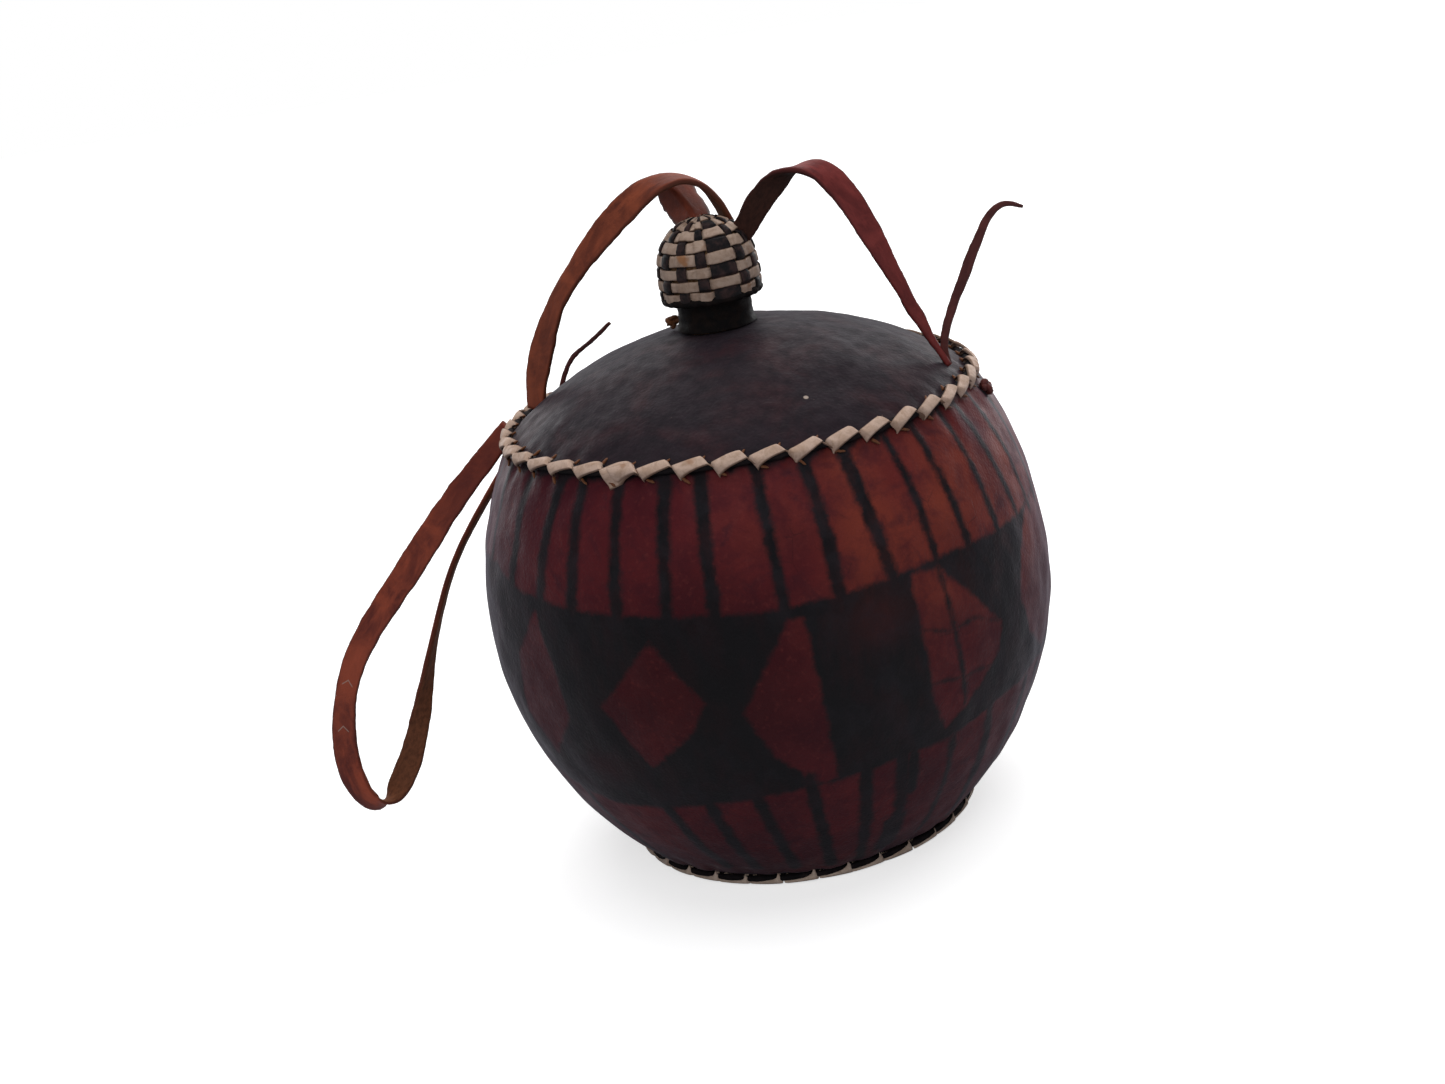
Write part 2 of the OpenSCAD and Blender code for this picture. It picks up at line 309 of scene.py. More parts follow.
def make_light():
    """A soft sun from above, a broad front light and boxes behind and at the sides."""
    sun = make_lamp("overhead_sun", "SUN", 1.7, gloss=False)
    sun.data.angle = math.radians(70)
    sun.rotation_euler = (math.radians(-12), math.radians(8), 0)
    make_softbox("front_light", (-0.10, -1.1, 0.95), 0.9, 5.0, gloss=False)
    make_softbox("left_box", (-0.70, 1.0, 0.35), 0.7, 2.1)
    make_softbox("right_box", (0.75, 0.95, 0.35), 0.7, 3.2)
    make_softbox("back_box", (0.0, 0.9, 0.9), 1.0, 2.6)
    bpy.context.scene.view_settings.view_transform = "Standard"


make_camera()
make_floor()
make_room()
make_light()


# -------- materials

def scaled(colour, amount):
    return tuple(c * amount for c in colour)


class Look:
    """A Principled material whose nodes are wired in short calls."""

    def __init__(self, name, specular, **settings):
        self.material = bpy.data.materials.new(name)
        self.material.use_nodes = True
        self.tree = self.material.node_tree
        self.shader = self.tree.nodes["Principled BSDF"]
        self.set("Specular IOR Level", specular)
        for key, value in settings.items():
            self.set(key.replace("_", " "), value)

    def set(self, name, value):
        self.feed(self.shader.inputs[name], value)

    def feed(self, socket, value):
        if isinstance(value, bpy.types.NodeSocket):
            self.tree.links.new(value, socket)
        elif socket.type == "RGBA":
            socket.default_value = (*value, 1)
        else:
            socket.default_value = value

    def node(self, kind, sockets, **settings):
        made = self.tree.nodes.new("ShaderNode" + kind)
        for key, value in settings.items():
            setattr(made, key, value)
        for key, value in sockets.items():
            self.feed(made.inputs[key], value)
        return made

    def stretched(self, point, stretch):
        return self.node("VectorMath", {0: point, 1: stretch}, operation="MULTIPLY").outputs[0]

    def place(self, stretch=(1, 1, 1)):
        """The point in the rattle's frame, in millimetres, stretched along each axis."""
        point = self.node("TexCoord", {}).outputs["Object"]
        return self.stretched(point, tuple(s / MM for s in stretch))

    def lay(self, stretch=(1, 1, 1)):
        """The piece's own (across, along, side) coordinates, in millimetres."""
        point = self.node("Attribute", {}, attribute_name="lay").outputs["Vector"]
        return self.stretched(point, stretch)

    def value(self, name):
        return self.node("Attribute", {}, attribute_name=name).outputs["Fac"]

    def noise(self, where, size, detail=3.0, rough=0.5, warp=0.0):
        """Soft noise from 0 to 1 with swells about size millimetres across."""
        sockets = {"Vector": where, "Scale": 1 / size, "Detail": detail, "Roughness": rough,
                   "Distortion": warp}
        return self.node("TexNoise", sockets).outputs["Fac"]

    def cells(self, where, size, feature="F1"):
        sockets = {"Vector": where, "Scale": 1 / size}
        return self.node("TexVoronoi", sockets, feature=feature).outputs["Distance"]

    def math(self, operation, a, b=0.0):
        return self.node("Math", {0: a, 1: b}, operation=operation).outputs[0]

    def times(self, a, b):
        return self.math("MULTIPLY", a, b)

    def step(self, value, low, high, start=0.0, end=1.0):
        """Eases from start to end as value goes from low to high."""
        sockets = {"Value": value, "From Min": low, "From Max": high, "To Min": start, "To Max": end}
        return self.node("MapRange", sockets, interpolation_type="SMOOTHSTEP").outputs[0]

    def mix(self, amount, a, b):
        return self.node("Mix", {0: amount, 6: a, 7: b}, data_type="RGBA").outputs[2]

    def over(self, colour, tone, value, low, high, most=1.0):
        """Lays a tone over a colour as value goes from low to high."""
        return self.mix(self.step(value, low, high, 0.0, most), colour, tone)

    def bump(self, height, depth, normal=None):
        """Raises the surface by depth millimetres where height is 1."""
        sockets = {"Height": height, "Distance": depth * MM, "Strength": 1.0}
        if normal is not None:
            sockets["Normal"] = normal
        return self.node("Bump", sockets).outputs[0]

    def finish(self, colour, roughness, normal):
        self.set("Base Color", colour)
        self.set("Roughness", roughness)
        self.set("Normal", normal)
        return self.material


def leather_grain(look, where, size, depth):
    """Pebbled grain with fine wrinkles."""
    pebbles = look.cells(where, size)
    wrinkles = look.noise(where, size * 3, 5, 0.65, 0.6)
    return look.bump(wrinkles, depth * 3, look.bump(pebbles, -depth))


def red_dye(look, where, mottle, deep):
    """Red of changing strength, with dark smudges, darkened by painted shade in the middle of the front."""
    soft = look.noise(where, 26, 3, 0.55)
    smudge = look.noise(where, 13, 4, 0.6, 0.8)
    fine = look.noise(where, 1.6, 3, 0.6)
    red = look.over((0.062, 0.007, 0.013), (0.120, 0.014, 0.018), soft, 0.35, 0.68)
    red = look.mix(look.value("warmth"), red, (0.270, 0.050, 0.028))
    red = look.over(red, (0.058, 0.010, 0.017), mottle, 0.40, 0.70, 0.6)
    red = look.over(red, (0.036, 0.011, 0.019), smudge, 0.56, 0.72, 0.5)
    # Painted shade: the middle of the front is darkened.
    red = look.mix(deep, red, (0.040, 0.002, 0.003))
    return look.over(red, (0.25, 0.050, 0.040), fine, 0.52, 0.8, 0.22)


def paint_cover(look, where):
    """How well the black paint covers: uneven at its edges, thinner in strokes and in faded spots."""
    strokes = look.noise(look.place((1, 1, 0.5)), 5.0, 4, 0.6)
    wander = look.math("SUBTRACT", look.noise(where, 3.6, 5, 0.7), 0.5)
    ink = look.math("ADD", look.value("ink"), look.times(wander, 3.0))
    black = look.times(look.step(ink, -0.95, 1.0), look.step(strokes, 0.30, 0.62, 0.90, 1.0))
    return look.times(black, look.step(look.value("faded"), 0, 1, 1.0, 0.78))


def painted_leather():
    """The side cover: red dye under black paint laid on by hand, cracked and chipped in places, with painted
    shade over the middle of the front.
    """
    look = Look("painted_leather", 0.24, Sheen_Weight=0.16, Sheen_Roughness=0.35,
                Sheen_Tint=(0.90, 0.84, 1.0))
    where = look.place()
    mottle = look.noise(where, 7, 5, 0.62, 0.4)
    deep = look.times(look.value("deep"), 0.72)
    black = paint_cover(look, where)
    paint = look.over((0.009, 0.008, 0.010), (0.019, 0.017, 0.021), mottle, 0.4, 0.7)
    # Painted shade darkens the black paint in the middle of the front too.
    paint = look.mix(deep, paint, (0.004, 0.0035, 0.004))
    colour = look.mix(black, red_dye(look, where, mottle, deep), paint)
    cracks = look.cells(look.place((1, 1, 0.55)), 5.5, "DISTANCE_TO_EDGE")
    broken = look.step(look.noise(where, 9, 2), 0.60, 0.70)
    crack = look.times(look.step(cracks, 0.0, 0.035, 1.0, 0.0), broken)
    colour = look.mix(look.times(crack, 0.25), colour, (0.008, 0.005, 0.006))
    chips = look.step(look.noise(where, 1.1, 2, 0.4), 0.84, 0.87)
    colour = look.mix(look.times(chips, 0.35), colour, (0.24, 0.11, 0.06))
    grain = look.bump(crack, -0.04, leather_grain(look, where, 0.8, 0.045))
    grain = look.bump(look.noise(where, 12, 3, 0.5), 0.4, grain)
    return look.finish(colour, look.step(mottle, 0.3, 0.7, 0.42, 0.60), look.bump(black, 0.04, grain))


NICK = (16.0, -44.3, 126.4)


def crown_leather(name="crown_leather", dull=0.0):
    """Blue-black leather rubbed through to brown in patches, with fine scratches and one pale nick."""
    look = Look(name, 0.22, Sheen_Weight=0.10, Sheen_Roughness=0.35, Sheen_Tint=(0.90, 0.86, 1.0))
    where = look.place()
    patch = look.noise(where, 17, 4, 0.6, 0.5)
    mottle = look.noise(where, 4, 5, 0.65)
    scratches = look.noise(look.place((0.16, 1.3, 0.4)), 0.9, 2, 0.5)
    chips = look.step(look.noise(where, 1.2, 2, 0.4), 0.79, 0.82)
    away = look.node("VectorMath", {0: where, 1: NICK}, operation="DISTANCE").outputs["Value"]
    colour = look.over((0.023, 0.015, 0.020), (0.039, 0.016, 0.020), patch, 0.42, 0.66)
    colour = look.over(colour, (0.012, 0.010, 0.013), mottle, 0.35, 0.75, 0.7)
    colour = look.over(colour, (0.075, 0.054, 0.055), scratches, 0.66, 0.76, 0.3)
    colour = look.mix(look.times(chips, 0.6), colour, (0.20, 0.13, 0.10))
    colour = look.mix(look.step(away, 0.45, 0.75, 1.0, 0.0), colour, (0.46, 0.37, 0.31))
    colour = look.mix(dull, colour, (0.030, 0.024, 0.022))
    grain = look.bump(look.noise(where, 9, 4, 0.55), 0.12, leather_grain(look, where, 1.0, 0.05))
    return look.finish(colour, look.step(mottle, 0.3, 0.7, 0.46, 0.62), grain)


def scar(look, at):
    """A pale V scratched across a strap at a distance along it."""
    split = look.node("SeparateXYZ", {"Vector": look.lay()})
    across = look.math("ABSOLUTE", split.outputs["X"])
    along = look.math("SUBTRACT", split.outputs["Y"], at)
    off = look.math("ABSOLUTE", look.math("SUBTRACT", along, look.times(across, 1.1)))
    line = look.step(off, 0.10, 0.32, 1.0, 0.0)
    return look.times(line, look.step(across, 1.3, 1.7, 0.7, 0.0))


def strap_leather(name, light, dark, flesh=(0.200, 0.070, 0.032), scars=(), aged=0.0):
    """Rust leather cut into straps: smooth outside, fibrous inside, darker and rubbed at its edges.

    It is darker over its first aged millimetres, and has a pale scratch at each of the scars.
    """
    look = Look(name, 0.4)
    where = look.lay()
    streaks = look.noise(look.lay((1, 0.18, 1)), 1.6, 4, 0.6)
    blotch = look.noise(look.lay((0.6, 0.35, 1)), 5.5, 4, 0.6, 0.6)
    fine = look.noise(where, 0.7, 3, 0.6)
    fibres = look.noise(look.lay((1, 0.5, 1)), 0.9, 5, 0.7)
    side = look.value("flesh")
    outside = look.over(light, dark, blotch, 0.34, 0.68)
    outside = look.over(outside, scaled(light, 1.25), streaks, 0.45, 0.75, 0.5)
    inside = look.over(flesh, scaled(flesh, 0.55), fibres, 0.35, 0.7)
    inside = look.over(inside, scaled(flesh, 0.7), blotch, 0.5, 0.8, 0.6)
    colour = look.mix(side, outside, inside)
    edge = look.step(look.value("edge"), 0.80, 0.98)
    colour = look.mix(look.times(edge, 0.55), colour, scaled(dark, 0.45))
    colour = look.over(colour, scaled(light, 1.5), fine, 0.62, 0.85, 0.3)
    if aged:
        along = look.node("SeparateXYZ", {"Vector": where}).outputs["Y"]
        colour = look.mix(look.step(along, aged * 0.4, aged, 0.6, 0.0), colour, dark)
    for at in scars:
        colour = look.mix(scar(look, at), colour, (0.50, 0.36, 0.30))
    grain = look.bump(fibres, 0.08, leather_grain(look, where, 0.55, 0.03))
    return look.finish(colour, look.step(side, 0, 1, 0.48, 0.78), grain)


def lace_hide(name, stains, pale, tan, dark_edge_and_shade=0.72):
    """Undyed hide, cut in strips: cream with brown stains and dark edges; a tucked run is darkened all over,
    as painted shade.
    """
    look = Look(name, 0.35)
    where = look.place()
    blotch = look.noise(where, 2.6, 4, 0.6, 0.5)
    pores = look.noise(where, 0.45, 3, 0.6)
    colour = look.over(pale, tan, blotch, 0.35, 0.7)
    colour = look.over(colour, (0.34, 0.15, 0.06), look.noise(where, 4.5, 2), 0.60, 0.74, stains)
    colour = look.over(colour, (0.30, 0.19, 0.13), pores, 0.52, 0.8, 0.45)
    # Dark edges; a tucked run counts as edge all over and so gets painted shade.
    edge = look.step(look.value("edge"), 0.80, 1.0)
    colour = look.mix(look.times(edge, dark_edge_and_shade), colour, (0.11, 0.055, 0.032))
    grain = look.bump(blotch, 0.25, look.bump(pores, 0.10))
    return look.finish(colour, look.step(blotch, 0.3, 0.7, 0.5, 0.7), grain)


def dark_leather(name, tone, worn, roughness=(0.42, 0.62), specular=0.35):
    """Nearly black leather, rubbed brown on its high places."""
    look = Look(name, specular)
    where = look.place()
    blotch = look.noise(where, 3.2, 4, 0.6, 0.5)
    rub = look.noise(where, 0.8, 3, 0.6)
    colour = look.over(tone, worn, blotch, 0.4, 0.72)
    colour = look.over(colour, scaled(worn, 1.8), rub, 0.58, 0.8, 0.4)
    grain = leather_grain(look, where, 0.5, 0.04)
    return look.finish(colour, look.step(blotch, 0.3, 0.7, *roughness), grain)


def dry_wood(name, light, dark, ring=2.2):
    """Wood or dried gourd with fibres that run upward."""
    look = Look(name, 0.3)
    fibres = look.noise(look.place((1, 1, 0.08)), ring * 0.4, 5, 0.65, 0.3)
    rings = look.noise(look.place((1, 1, 0.03)), ring, 2, 0.5, 1.2)
    colour = look.over(light, dark, rings, 0.4, 0.6)
    colour = look.over(colour, scaled(dark, 0.45), fibres, 0.45, 0.75, 0.6)
    return look.finish(colour, look.step(fibres, 0.3, 0.7, 0.55, 0.8), look.bump(fibres, 0.12))


def seed_coat():
    """Hard brown seeds, each with its own tone."""
    look = Look("seed_coat", 0.5)
    where = look.place()
    colour = look.mix(look.value("tone"), (0.30, 0.17, 0.07), (0.13, 0.06, 0.03))
    specks = look.noise(where, 0.7, 3, 0.6)
    colour = look.over(colour, (0.06, 0.03, 0.018), specks, 0.52, 0.66, 0.7)
    shine = look.step(look.noise(where, 1.5), 0.3, 0.7, 0.28, 0.5)
    return look.finish(colour, shine, look.bump(look.noise(where, 0.6, 4, 0.6), 0.12))


PAINTED = painted_leather()
CROWN = crown_leather()
UNDERSIDE = crown_leather("base_leather", dull=0.6)
STRAP = strap_leather("strap_leather", (0.400, 0.078, 0.036), (0.130, 0.022, 0.016),
                      scars=(90.6, 105.0), aged=44.0)
BROWN_STRAP = strap_leather("brown_strap_leather", (0.325, 0.076, 0.034), (0.120, 0.028, 0.017),
                            (0.18, 0.066, 0.028))
# A darker copy of the brown strap's leather for the folded tongue: painted shade where it lies behind the
# arch.
SHADED_FOLD_STRAP = strap_leather("shaded_folded_strap_leather", (0.230, 0.048, 0.023), (0.085, 0.018, 0.011))
RED_STRAP = strap_leather("red_strap_leather", (0.265, 0.045, 0.040), (0.115, 0.018, 0.018),
                          (0.048, 0.017, 0.011))
TAIL = strap_leather("tail_leather", (0.150, 0.040, 0.034), (0.060, 0.016, 0.016))
THONG = strap_leather("brown_thong", (0.22, 0.085, 0.035), (0.07, 0.026, 0.012))
LACE = lace_hide("lace_hide", 0.55, (0.66, 0.48, 0.38), (0.50, 0.34, 0.25))
# A lighter copy of the lace hide, with weaker dark edges, for the base lace low under the gourd: painted
# light.
LIT_BASE_LACE = lace_hide("lit_base_lace_hide", 0.4, (0.78, 0.62, 0.51), (0.60, 0.45, 0.35), 0.2)
WEFT = lace_hide("weft_hide", 0.85, (0.50, 0.37, 0.29), (0.34, 0.23, 0.17))
WARP = dark_leather("warp_leather", (0.009, 0.008, 0.009), (0.060, 0.032, 0.030))
RIM = dark_leather("rim_leather", (0.007, 0.006, 0.006), (0.018, 0.012, 0.011), (0.6, 0.8), 0.12)
WELT = dark_leather("welt_leather", (0.008, 0.007, 0.008), (0.022, 0.016, 0.017), (0.6, 0.8), 0.15)
NECK = dark_leather("neck_leather", (0.006, 0.005, 0.005), (0.017, 0.011, 0.009), (0.5, 0.7), 0.14)
TURNED = dry_wood("turned_wood", (0.40, 0.24, 0.12), (0.27, 0.14, 0.065))
GOURD = dry_wood("dried_gourd", (0.52, 0.34, 0.17), (0.40, 0.24, 0.11), 6.0)
SEED = seed_coat()


# -------- mesh helpers

def new_piece(name, points, faces, material, body, slot, replaces, **attributes):
    """Makes a mesh piece from points in millimetres, with its named values, and ties it to the frame."""
    mesh = bpy.data.meshes.new(name)
    mesh.from_pydata((np.reshape(points, (-1, 3)) * MM).tolist(), [], faces)
    mesh.materials.append(material)
    for key, values in attributes.items():
        values = np.asarray(values, np.float32)
        kind, field = ("FLOAT_VECTOR", "vector") if values.ndim == 2 else ("FLOAT", "value")
        mesh.attributes.new(key, kind, "POINT").data.foreach_set(field, values.ravel())
    mesh.shade_smooth()
    piece = bpy.data.objects.new(name, mesh)
    bpy.context.scene.collection.objects.link(piece)
    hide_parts(*replaces)
    if body is not None:
        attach(piece, body)
    return piece


def grid_faces(rows, columns, closed_rows=False):
    """Faces of a grid whose points are counted along each row in turn, and whose columns go all round."""
    i = columns * np.arange(rows if closed_rows else rows - 1)[:, None]
    j = np.arange(columns)
    below = (i + columns) % (rows * columns)
    beside = (j + 1) % columns
    return np.stack([i + j, i + beside, below + beside, below + j], -1).reshape(-1, 4).tolist()


def tube_faces(rings, sides):
    """Faces of a capped tube of rings."""
    last = (rings - 1) * sides
    caps = [list(range(sides))[::-1], [last + k for k in range(sides)]]
    return grid_faces(rings, sides) + caps


class Parts:
    """Collects several closed shapes into one mesh."""

    def __init__(self):
        self.points = []
        self.faces = []
        self.values = {}
        self.count = 0

    def add(self, points, faces, **values):
        points = np.reshape(points, (-1, 3))
        self.points.append(points)
        self.faces += [[k + self.count for k in face] for face in faces]
        for key, value in values.items():
            value = np.broadcast_to(value, (len(points), *np.shape(value)[1:]))
            self.values.setdefault(key, []).append(value)
        self.count += len(points)

    def piece(self, name, material, body, slot, replaces):
        values = {key: np.concatenate(found) for key, found in self.values.items()}
        points = np.concatenate(self.points)
        return new_piece(name, points, self.faces, material, body, slot, replaces, **values)


def unit(vectors):
    return vectors / np.maximum(np.linalg.norm(vectors, axis=-1, keepdims=True), 1e-9)


def spline(rows):
    """A smooth curve through rows of values, whose first three are a place."""
    padded = np.vstack([2 * rows[0] - rows[1], rows, 2 * rows[-1] - rows[-2]])
    t = np.linspace(0, 1, 8, endpoint=False)[:, None]
    pieces = []
    for a, b, c, d in zip(padded, padded[1:], padded[2:], padded[3:]):
        square = 2 * a - 5 * b + 4 * c - d
        cube = 3 * b - a - 3 * c + d
        pieces.append(0.5 * (2 * b + (c - a) * t + square * t ** 2 + cube * t ** 3))
    return np.vstack([*pieces, rows[-1:]])


def even(rows, step):
    """The same curve with its rows a fixed distance apart, and that distance along it."""
    along = np.concatenate([[0], np.cumsum(np.linalg.norm(np.diff(rows[:, :3], axis=0), axis=1))])
    count = max(int(round(along[-1] / step)), 2) + 1
    at = np.linspace(0, along[-1], count)
    return np.stack([np.interp(at, along, column) for column in rows.T], 1), at


def soften(rows, passes):
    """Rows whose places are averaged with their neighbours; the ends stay."""
    rows = np.array(rows, float)
    for _ in range(passes):
        rows[1:-1, :3] = (rows[:-2, :3] + 2 * rows[1:-1, :3] + rows[2:, :3]) / 4
    return rows


def flat_section(flat, corner):
    """A rounded flat outline, as (side along the flat, corner across, corner up) for each point."""
    bend = np.linspace(math.pi / 2, -math.pi / 2, corner + 2)[1:-1]
    rows = [(f, 0.0, 1.0) for f in np.linspace(-1, 1, flat)]
    rows += [(1.0, math.cos(a), math.sin(a)) for a in bend]
    rows += [(f, 0.0, -1.0) for f in np.linspace(1, -1, flat)]
    rows += [(-1.0, -math.cos(a), -math.sin(a)) for a in bend]
    return np.array(rows)


def flat_bar(section, half, thickness, corner):
    """A section's points, across and up, at half a strip's width and its thickness."""
    flat, corner_x, corner_y = section.T
    x = flat * (half - corner) + corner_x * corner
    return x, np.where(corner_y >= 0, 1, -1) * (thickness / 2 - corner) + corner_y * corner


SECTION = flat_section(9, 4)


def ribbon(path, thickness=STRAP_T, ragged=0.12, cup=0.25, crease=0.0, seed=1):
    """The shape of a strap along rows of (x, y, z, width, twist in degrees), its middle line and length.

    Untwisted, its outside faces the camera. crease lifts a fold along its middle.
    """
    rows, along = even(spline(soften(path, 2)), 0.9)
    centre = rows[:, :3]
    half = rows[:, 3:4] / 2
    twist = np.radians(rows[:, 4:])
    tangent = unit(np.gradient(centre, axis=0))
    across = unit(np.cross(tangent, TOWARD_CAMERA))
    outward = np.cross(across, tangent)
    turned = across * np.cos(twist) + outward * np.sin(twist)
    outward = outward * np.cos(twist) - across * np.sin(twist)
    line = points_at(along, 0, 0)[:, :2]
    left, right = (swells(line, (1, 9, first), (0.5, 2.6, first + 1)) for first in (seed, seed + 2))
    flat = SECTION[:, 0]
    uneven = np.where(flat < 0, -left[:, None], right[:, None]) * np.abs(flat) * ragged
    x, level = flat_bar(SECTION, half, thickness, 0.42 * thickness)
    x = x + uneven
    bend = cup * (0.6 + 0.4 * ripple(line, 30, seed + 4))[:, None]
    y = level - bend * (x / half) ** 2 - crease * np.abs(x)
    points = centre[:, None] + turned[:, None] * x[..., None] + outward[:, None] * y[..., None]
    side = np.clip(0.5 - SECTION[:, 2] * 0.9, 0, 1) * np.ones_like(x)
    lay = points_at(x, along[:, None], side * 7)
    shape = {"points": points, "faces": tube_faces(len(rows), len(flat)), "lay": lay.reshape(-1, 3),
             "flesh": side.ravel(), "edge": (np.abs(x) / half).ravel()}
    return shape, centre, along[-1]


def thong(path, thickness, taper=1.0, wobble=0.06, sides=10, seed=1):
    """A thin tube along rows of places; taper is the size of its far end."""
    rows, along = even(spline(soften(path, 1)), thickness * 0.35)
    tangent = unit(np.gradient(rows, axis=0))
    side = unit(np.cross(tangent, (0.13, 0.24, 0.96)))
    up = np.cross(side, tangent)
    share = along / along[-1]
    point = np.minimum(1, 0.45 + 3 * (1 - share) * len(rows) / 12)
    radius = thickness / 2 * (1 + (taper - 1) * share) * point
    angle = np.linspace(0, 2 * np.pi, sides, endpoint=False)
    skin = points_at(along[:, None] / thickness * 2, np.cos(angle), np.sin(angle))
    rough = 1 + wobble * ripple(skin, 3.0, seed)
    ring = side[:, None] * np.cos(angle)[:, None] + up[:, None] * np.sin(angle)[:, None]
    points = rows[:, None] + ring * (radius[:, None] * rough)[..., None]
    lay = points_at(np.cos(angle) * thickness, along[:, None], np.sin(angle) * thickness)
    return {"points": points, "faces": tube_faces(len(rows), sides), "lay": lay.reshape(-1, 3),
            "flesh": 0.0, "edge": 0.0}


def short_thong(parts, ends, thickness, seed):
    parts.add(**thong(ends, thickness, taper=0.75, wobble=0.2, sides=8, seed=seed))


# -------- straps, tails and knots

# The cords' bends: the CAD source's routes, moved a little to follow the leather's real edges.
# Each has its widths and twists in degrees; an arch's last ones are those of its tip, inside the weave.
LEFT_ARCH = [[-53, 9, 122], [-52.8, 9, 127.2], [-50.3, 9, 133], [-47, 8, 140], [-44.9, 7, 145],
             [-42, 6, 150], [-38, 5, 155], [-32.6, 4, 160.4], [-27.5, 3, 164.9], [-22.4, 2, 169.3],
             [-17.7, 1, 173.4], [-11.4, 0, 176.9], [-4.3, 0, 177.7], [1.9, 2, 174.7], [3.2, 5, 168]]
LEFT_ARCH_TIP = [5, 5, 163]
LEFT_ARCH_WIDTH = [5.6, 6.2, 6.8, 7.0, 6.6, 5.8, 5.8, 6.5, 7.3, 7.3, 7.8, 7.4, 6.8, 6.0, 5.6, 5.2]
LEFT_ARCH_TWIST = [35, 25, 20, 25, 32, 34, 30, 24, 18, 14, 22, 42, 66, 82, 100, 110]
RIGHT_ARCH = [[54, -15, 121], [51, -15, 127], [48.4, -14, 132.2], [46.9, -14, 138.4], [43.6, -13, 144.2],
              [41.6, -12, 152.2], [38, -11, 160], [35, -10, 167], [32.3, -9, 172.3], [28.3, -8, 175.9],
              [23, -7, 175.4], [19, -5, 174], [15.8, -4, 170.2], [11, -3, 165]]
RIGHT_ARCH_TIP = [7.5, -2.4, 160]
RIGHT_ARCH_WIDTH = [1.7, 1.9, 3.0, 3.6, 4.0, 5.3, 6.1, 6.4, 6.9, 6.9, 6.2, 6.2, 6.4, 6.3, 5.6]
RIGHT_ARCH_TWIST = [0] * 7 + [-6, -20, -42, -76, -126, -170, -180, -180]
TONGUE_FOLD = [[-2.3, -3, 162.5], [-3.2, 0.5, 166], [-4.6, 3.5, 169.4], [-6.5, 5.5, 172.6], [-9.8, 7, 175.2]]
TONGUE_WIDTH = [5.8, 8.0, 9.8, 10.2, 7.0]
LOOP = [[-61, 10, 118], [-66.5, 12, 112.5], [-74.5, 13, 105.5], [-82.5, 15, 98.5], [-89, 16, 90],
        [-96.7, 17, 81.6], [-105.5, 19, 72.5], [-112.5, 20, 64.7], [-118.5, 21, 58.8], [-123.6, 22, 48],
        [-127, 22, 36], [-128.8, 22, 24.8], [-126.8, 22, 13.2], [-121.6, 22, 7.5], [-116.2, 23, 12.4],
        [-110.5, 24, 21.2], [-106, 25, 30], [-103, 26, 40], [-100, 27, 48], [-96.3, 28, 56.8],
        [-93.1, 29, 64.7], [-90.1, 30, 72.5], [-84.7, 31, 80.2], [-79.4, 32, 87.8], [-74.4, 33, 92.8],
        [-69.8, 35, 98.2], [-61.5, 37, 108.5], [-51, 36, 118]]
LOOP_WIDTH = [5.4, 5.8, 6.2, 6.8, 7.4, 7.5, 7.3, 7.0, 6.6, 6.2, 6.8, 7.1, 6.9, 6.6, 6.9, 7.1, 6.2, 5.6,
              5.0, 4.4, 3.9, 3.5, 3.2, 3.1, 3.2, 3.4, 3.6, 3.6]
LOOP_TWIST = [0] * 12 + [-25, -58, -152, -180, -195, -222, -246, -260, -266, -266, -264, -262, -260, -260,
                         -258, -258]
RIGHT_TAIL = [[54, -13.6, 121], [51.2, -16.2, 125.5], [54.2, -14.8, 130.8], [57.7, -13.6, 136.6],
              [61.2, -13, 143.2], [64.5, -13, 149.4], [67.8, -13, 155.7], [70.4, -13, 159],
              [73.4, -13, 160.4], [77.4, -13, 157]]
RIGHT_TAIL_WIDTH = [1.7, 2.0, 2.2, 2.4, 2.8, 2.5, 2.2, 1.9, 1.6, 0.9]
LEFT_TAIL = [[-50, 36, 115], [-47.5, 37, 119.2], [-47, 37, 123.4], [-44.6, 37, 127.4], [-41.3, 36, 130.4],
             [-37, 34, 132], [-34, 32, 134], [-31, 31, 137]]
LEFT_TAIL_WIDTH = [1.6, 1.6, 1.5, 1.4, 1.3, 1.2, 1.1, 0.9]


def with_columns(route, width, twist=0.0):
    """The route's rows with a width and a twist on each."""
    count = len(route)
    return np.column_stack([route, np.broadcast_to(width, count), np.broadcast_to(twist, count)])


def strand(name, made, material, body, slot, replaces):
    """A piece from what ribbon() made."""
    return new_piece(name, material=material, body=body, slot=slot, replaces=replaces, **made[0])


def knot_points(size):
    """An overhand knot's line, about size across, in its own plane."""
    t = np.linspace(0, 2 * np.pi, 26)[:-1]
    x = np.sin(t) + 2 * np.sin(2 * t)
    y = np.cos(t) - 2 * np.cos(2 * t)
    z = -1.35 * np.sin(3 * t)
    return points_at(x, y, z) * size / 6.2


def make_side_knot(name, node, azimuth, z, seed):
    """A tied knot with its two cut ends, lying against the side cover."""
    size, cord_d = 3.7, 1.6
    outward = at_azimuth(azimuth, *gourd_out(z))
    place = on_gourd(azimuth, z, size * 0.22)
    side = unit(np.cross(outward, (0.2, 0.3, 1.0)))
    up = np.cross(side, outward)
    line = knot_points(size)
    bends = place + line[:, :1] * side + line[:, 1:2] * up + line[:, 2:] * outward * 0.8
    ends = place + np.outer(np.linspace(-0.9, 0.9, 6), side) * size * 0.8 - 0.3 * outward
    parts = Parts()
    for path in (bends, ends):
        parts.add(**thong(path, cord_d, seed=seed))
    return parts.piece(name, TAIL, "gourd", "tail_leather", [node])


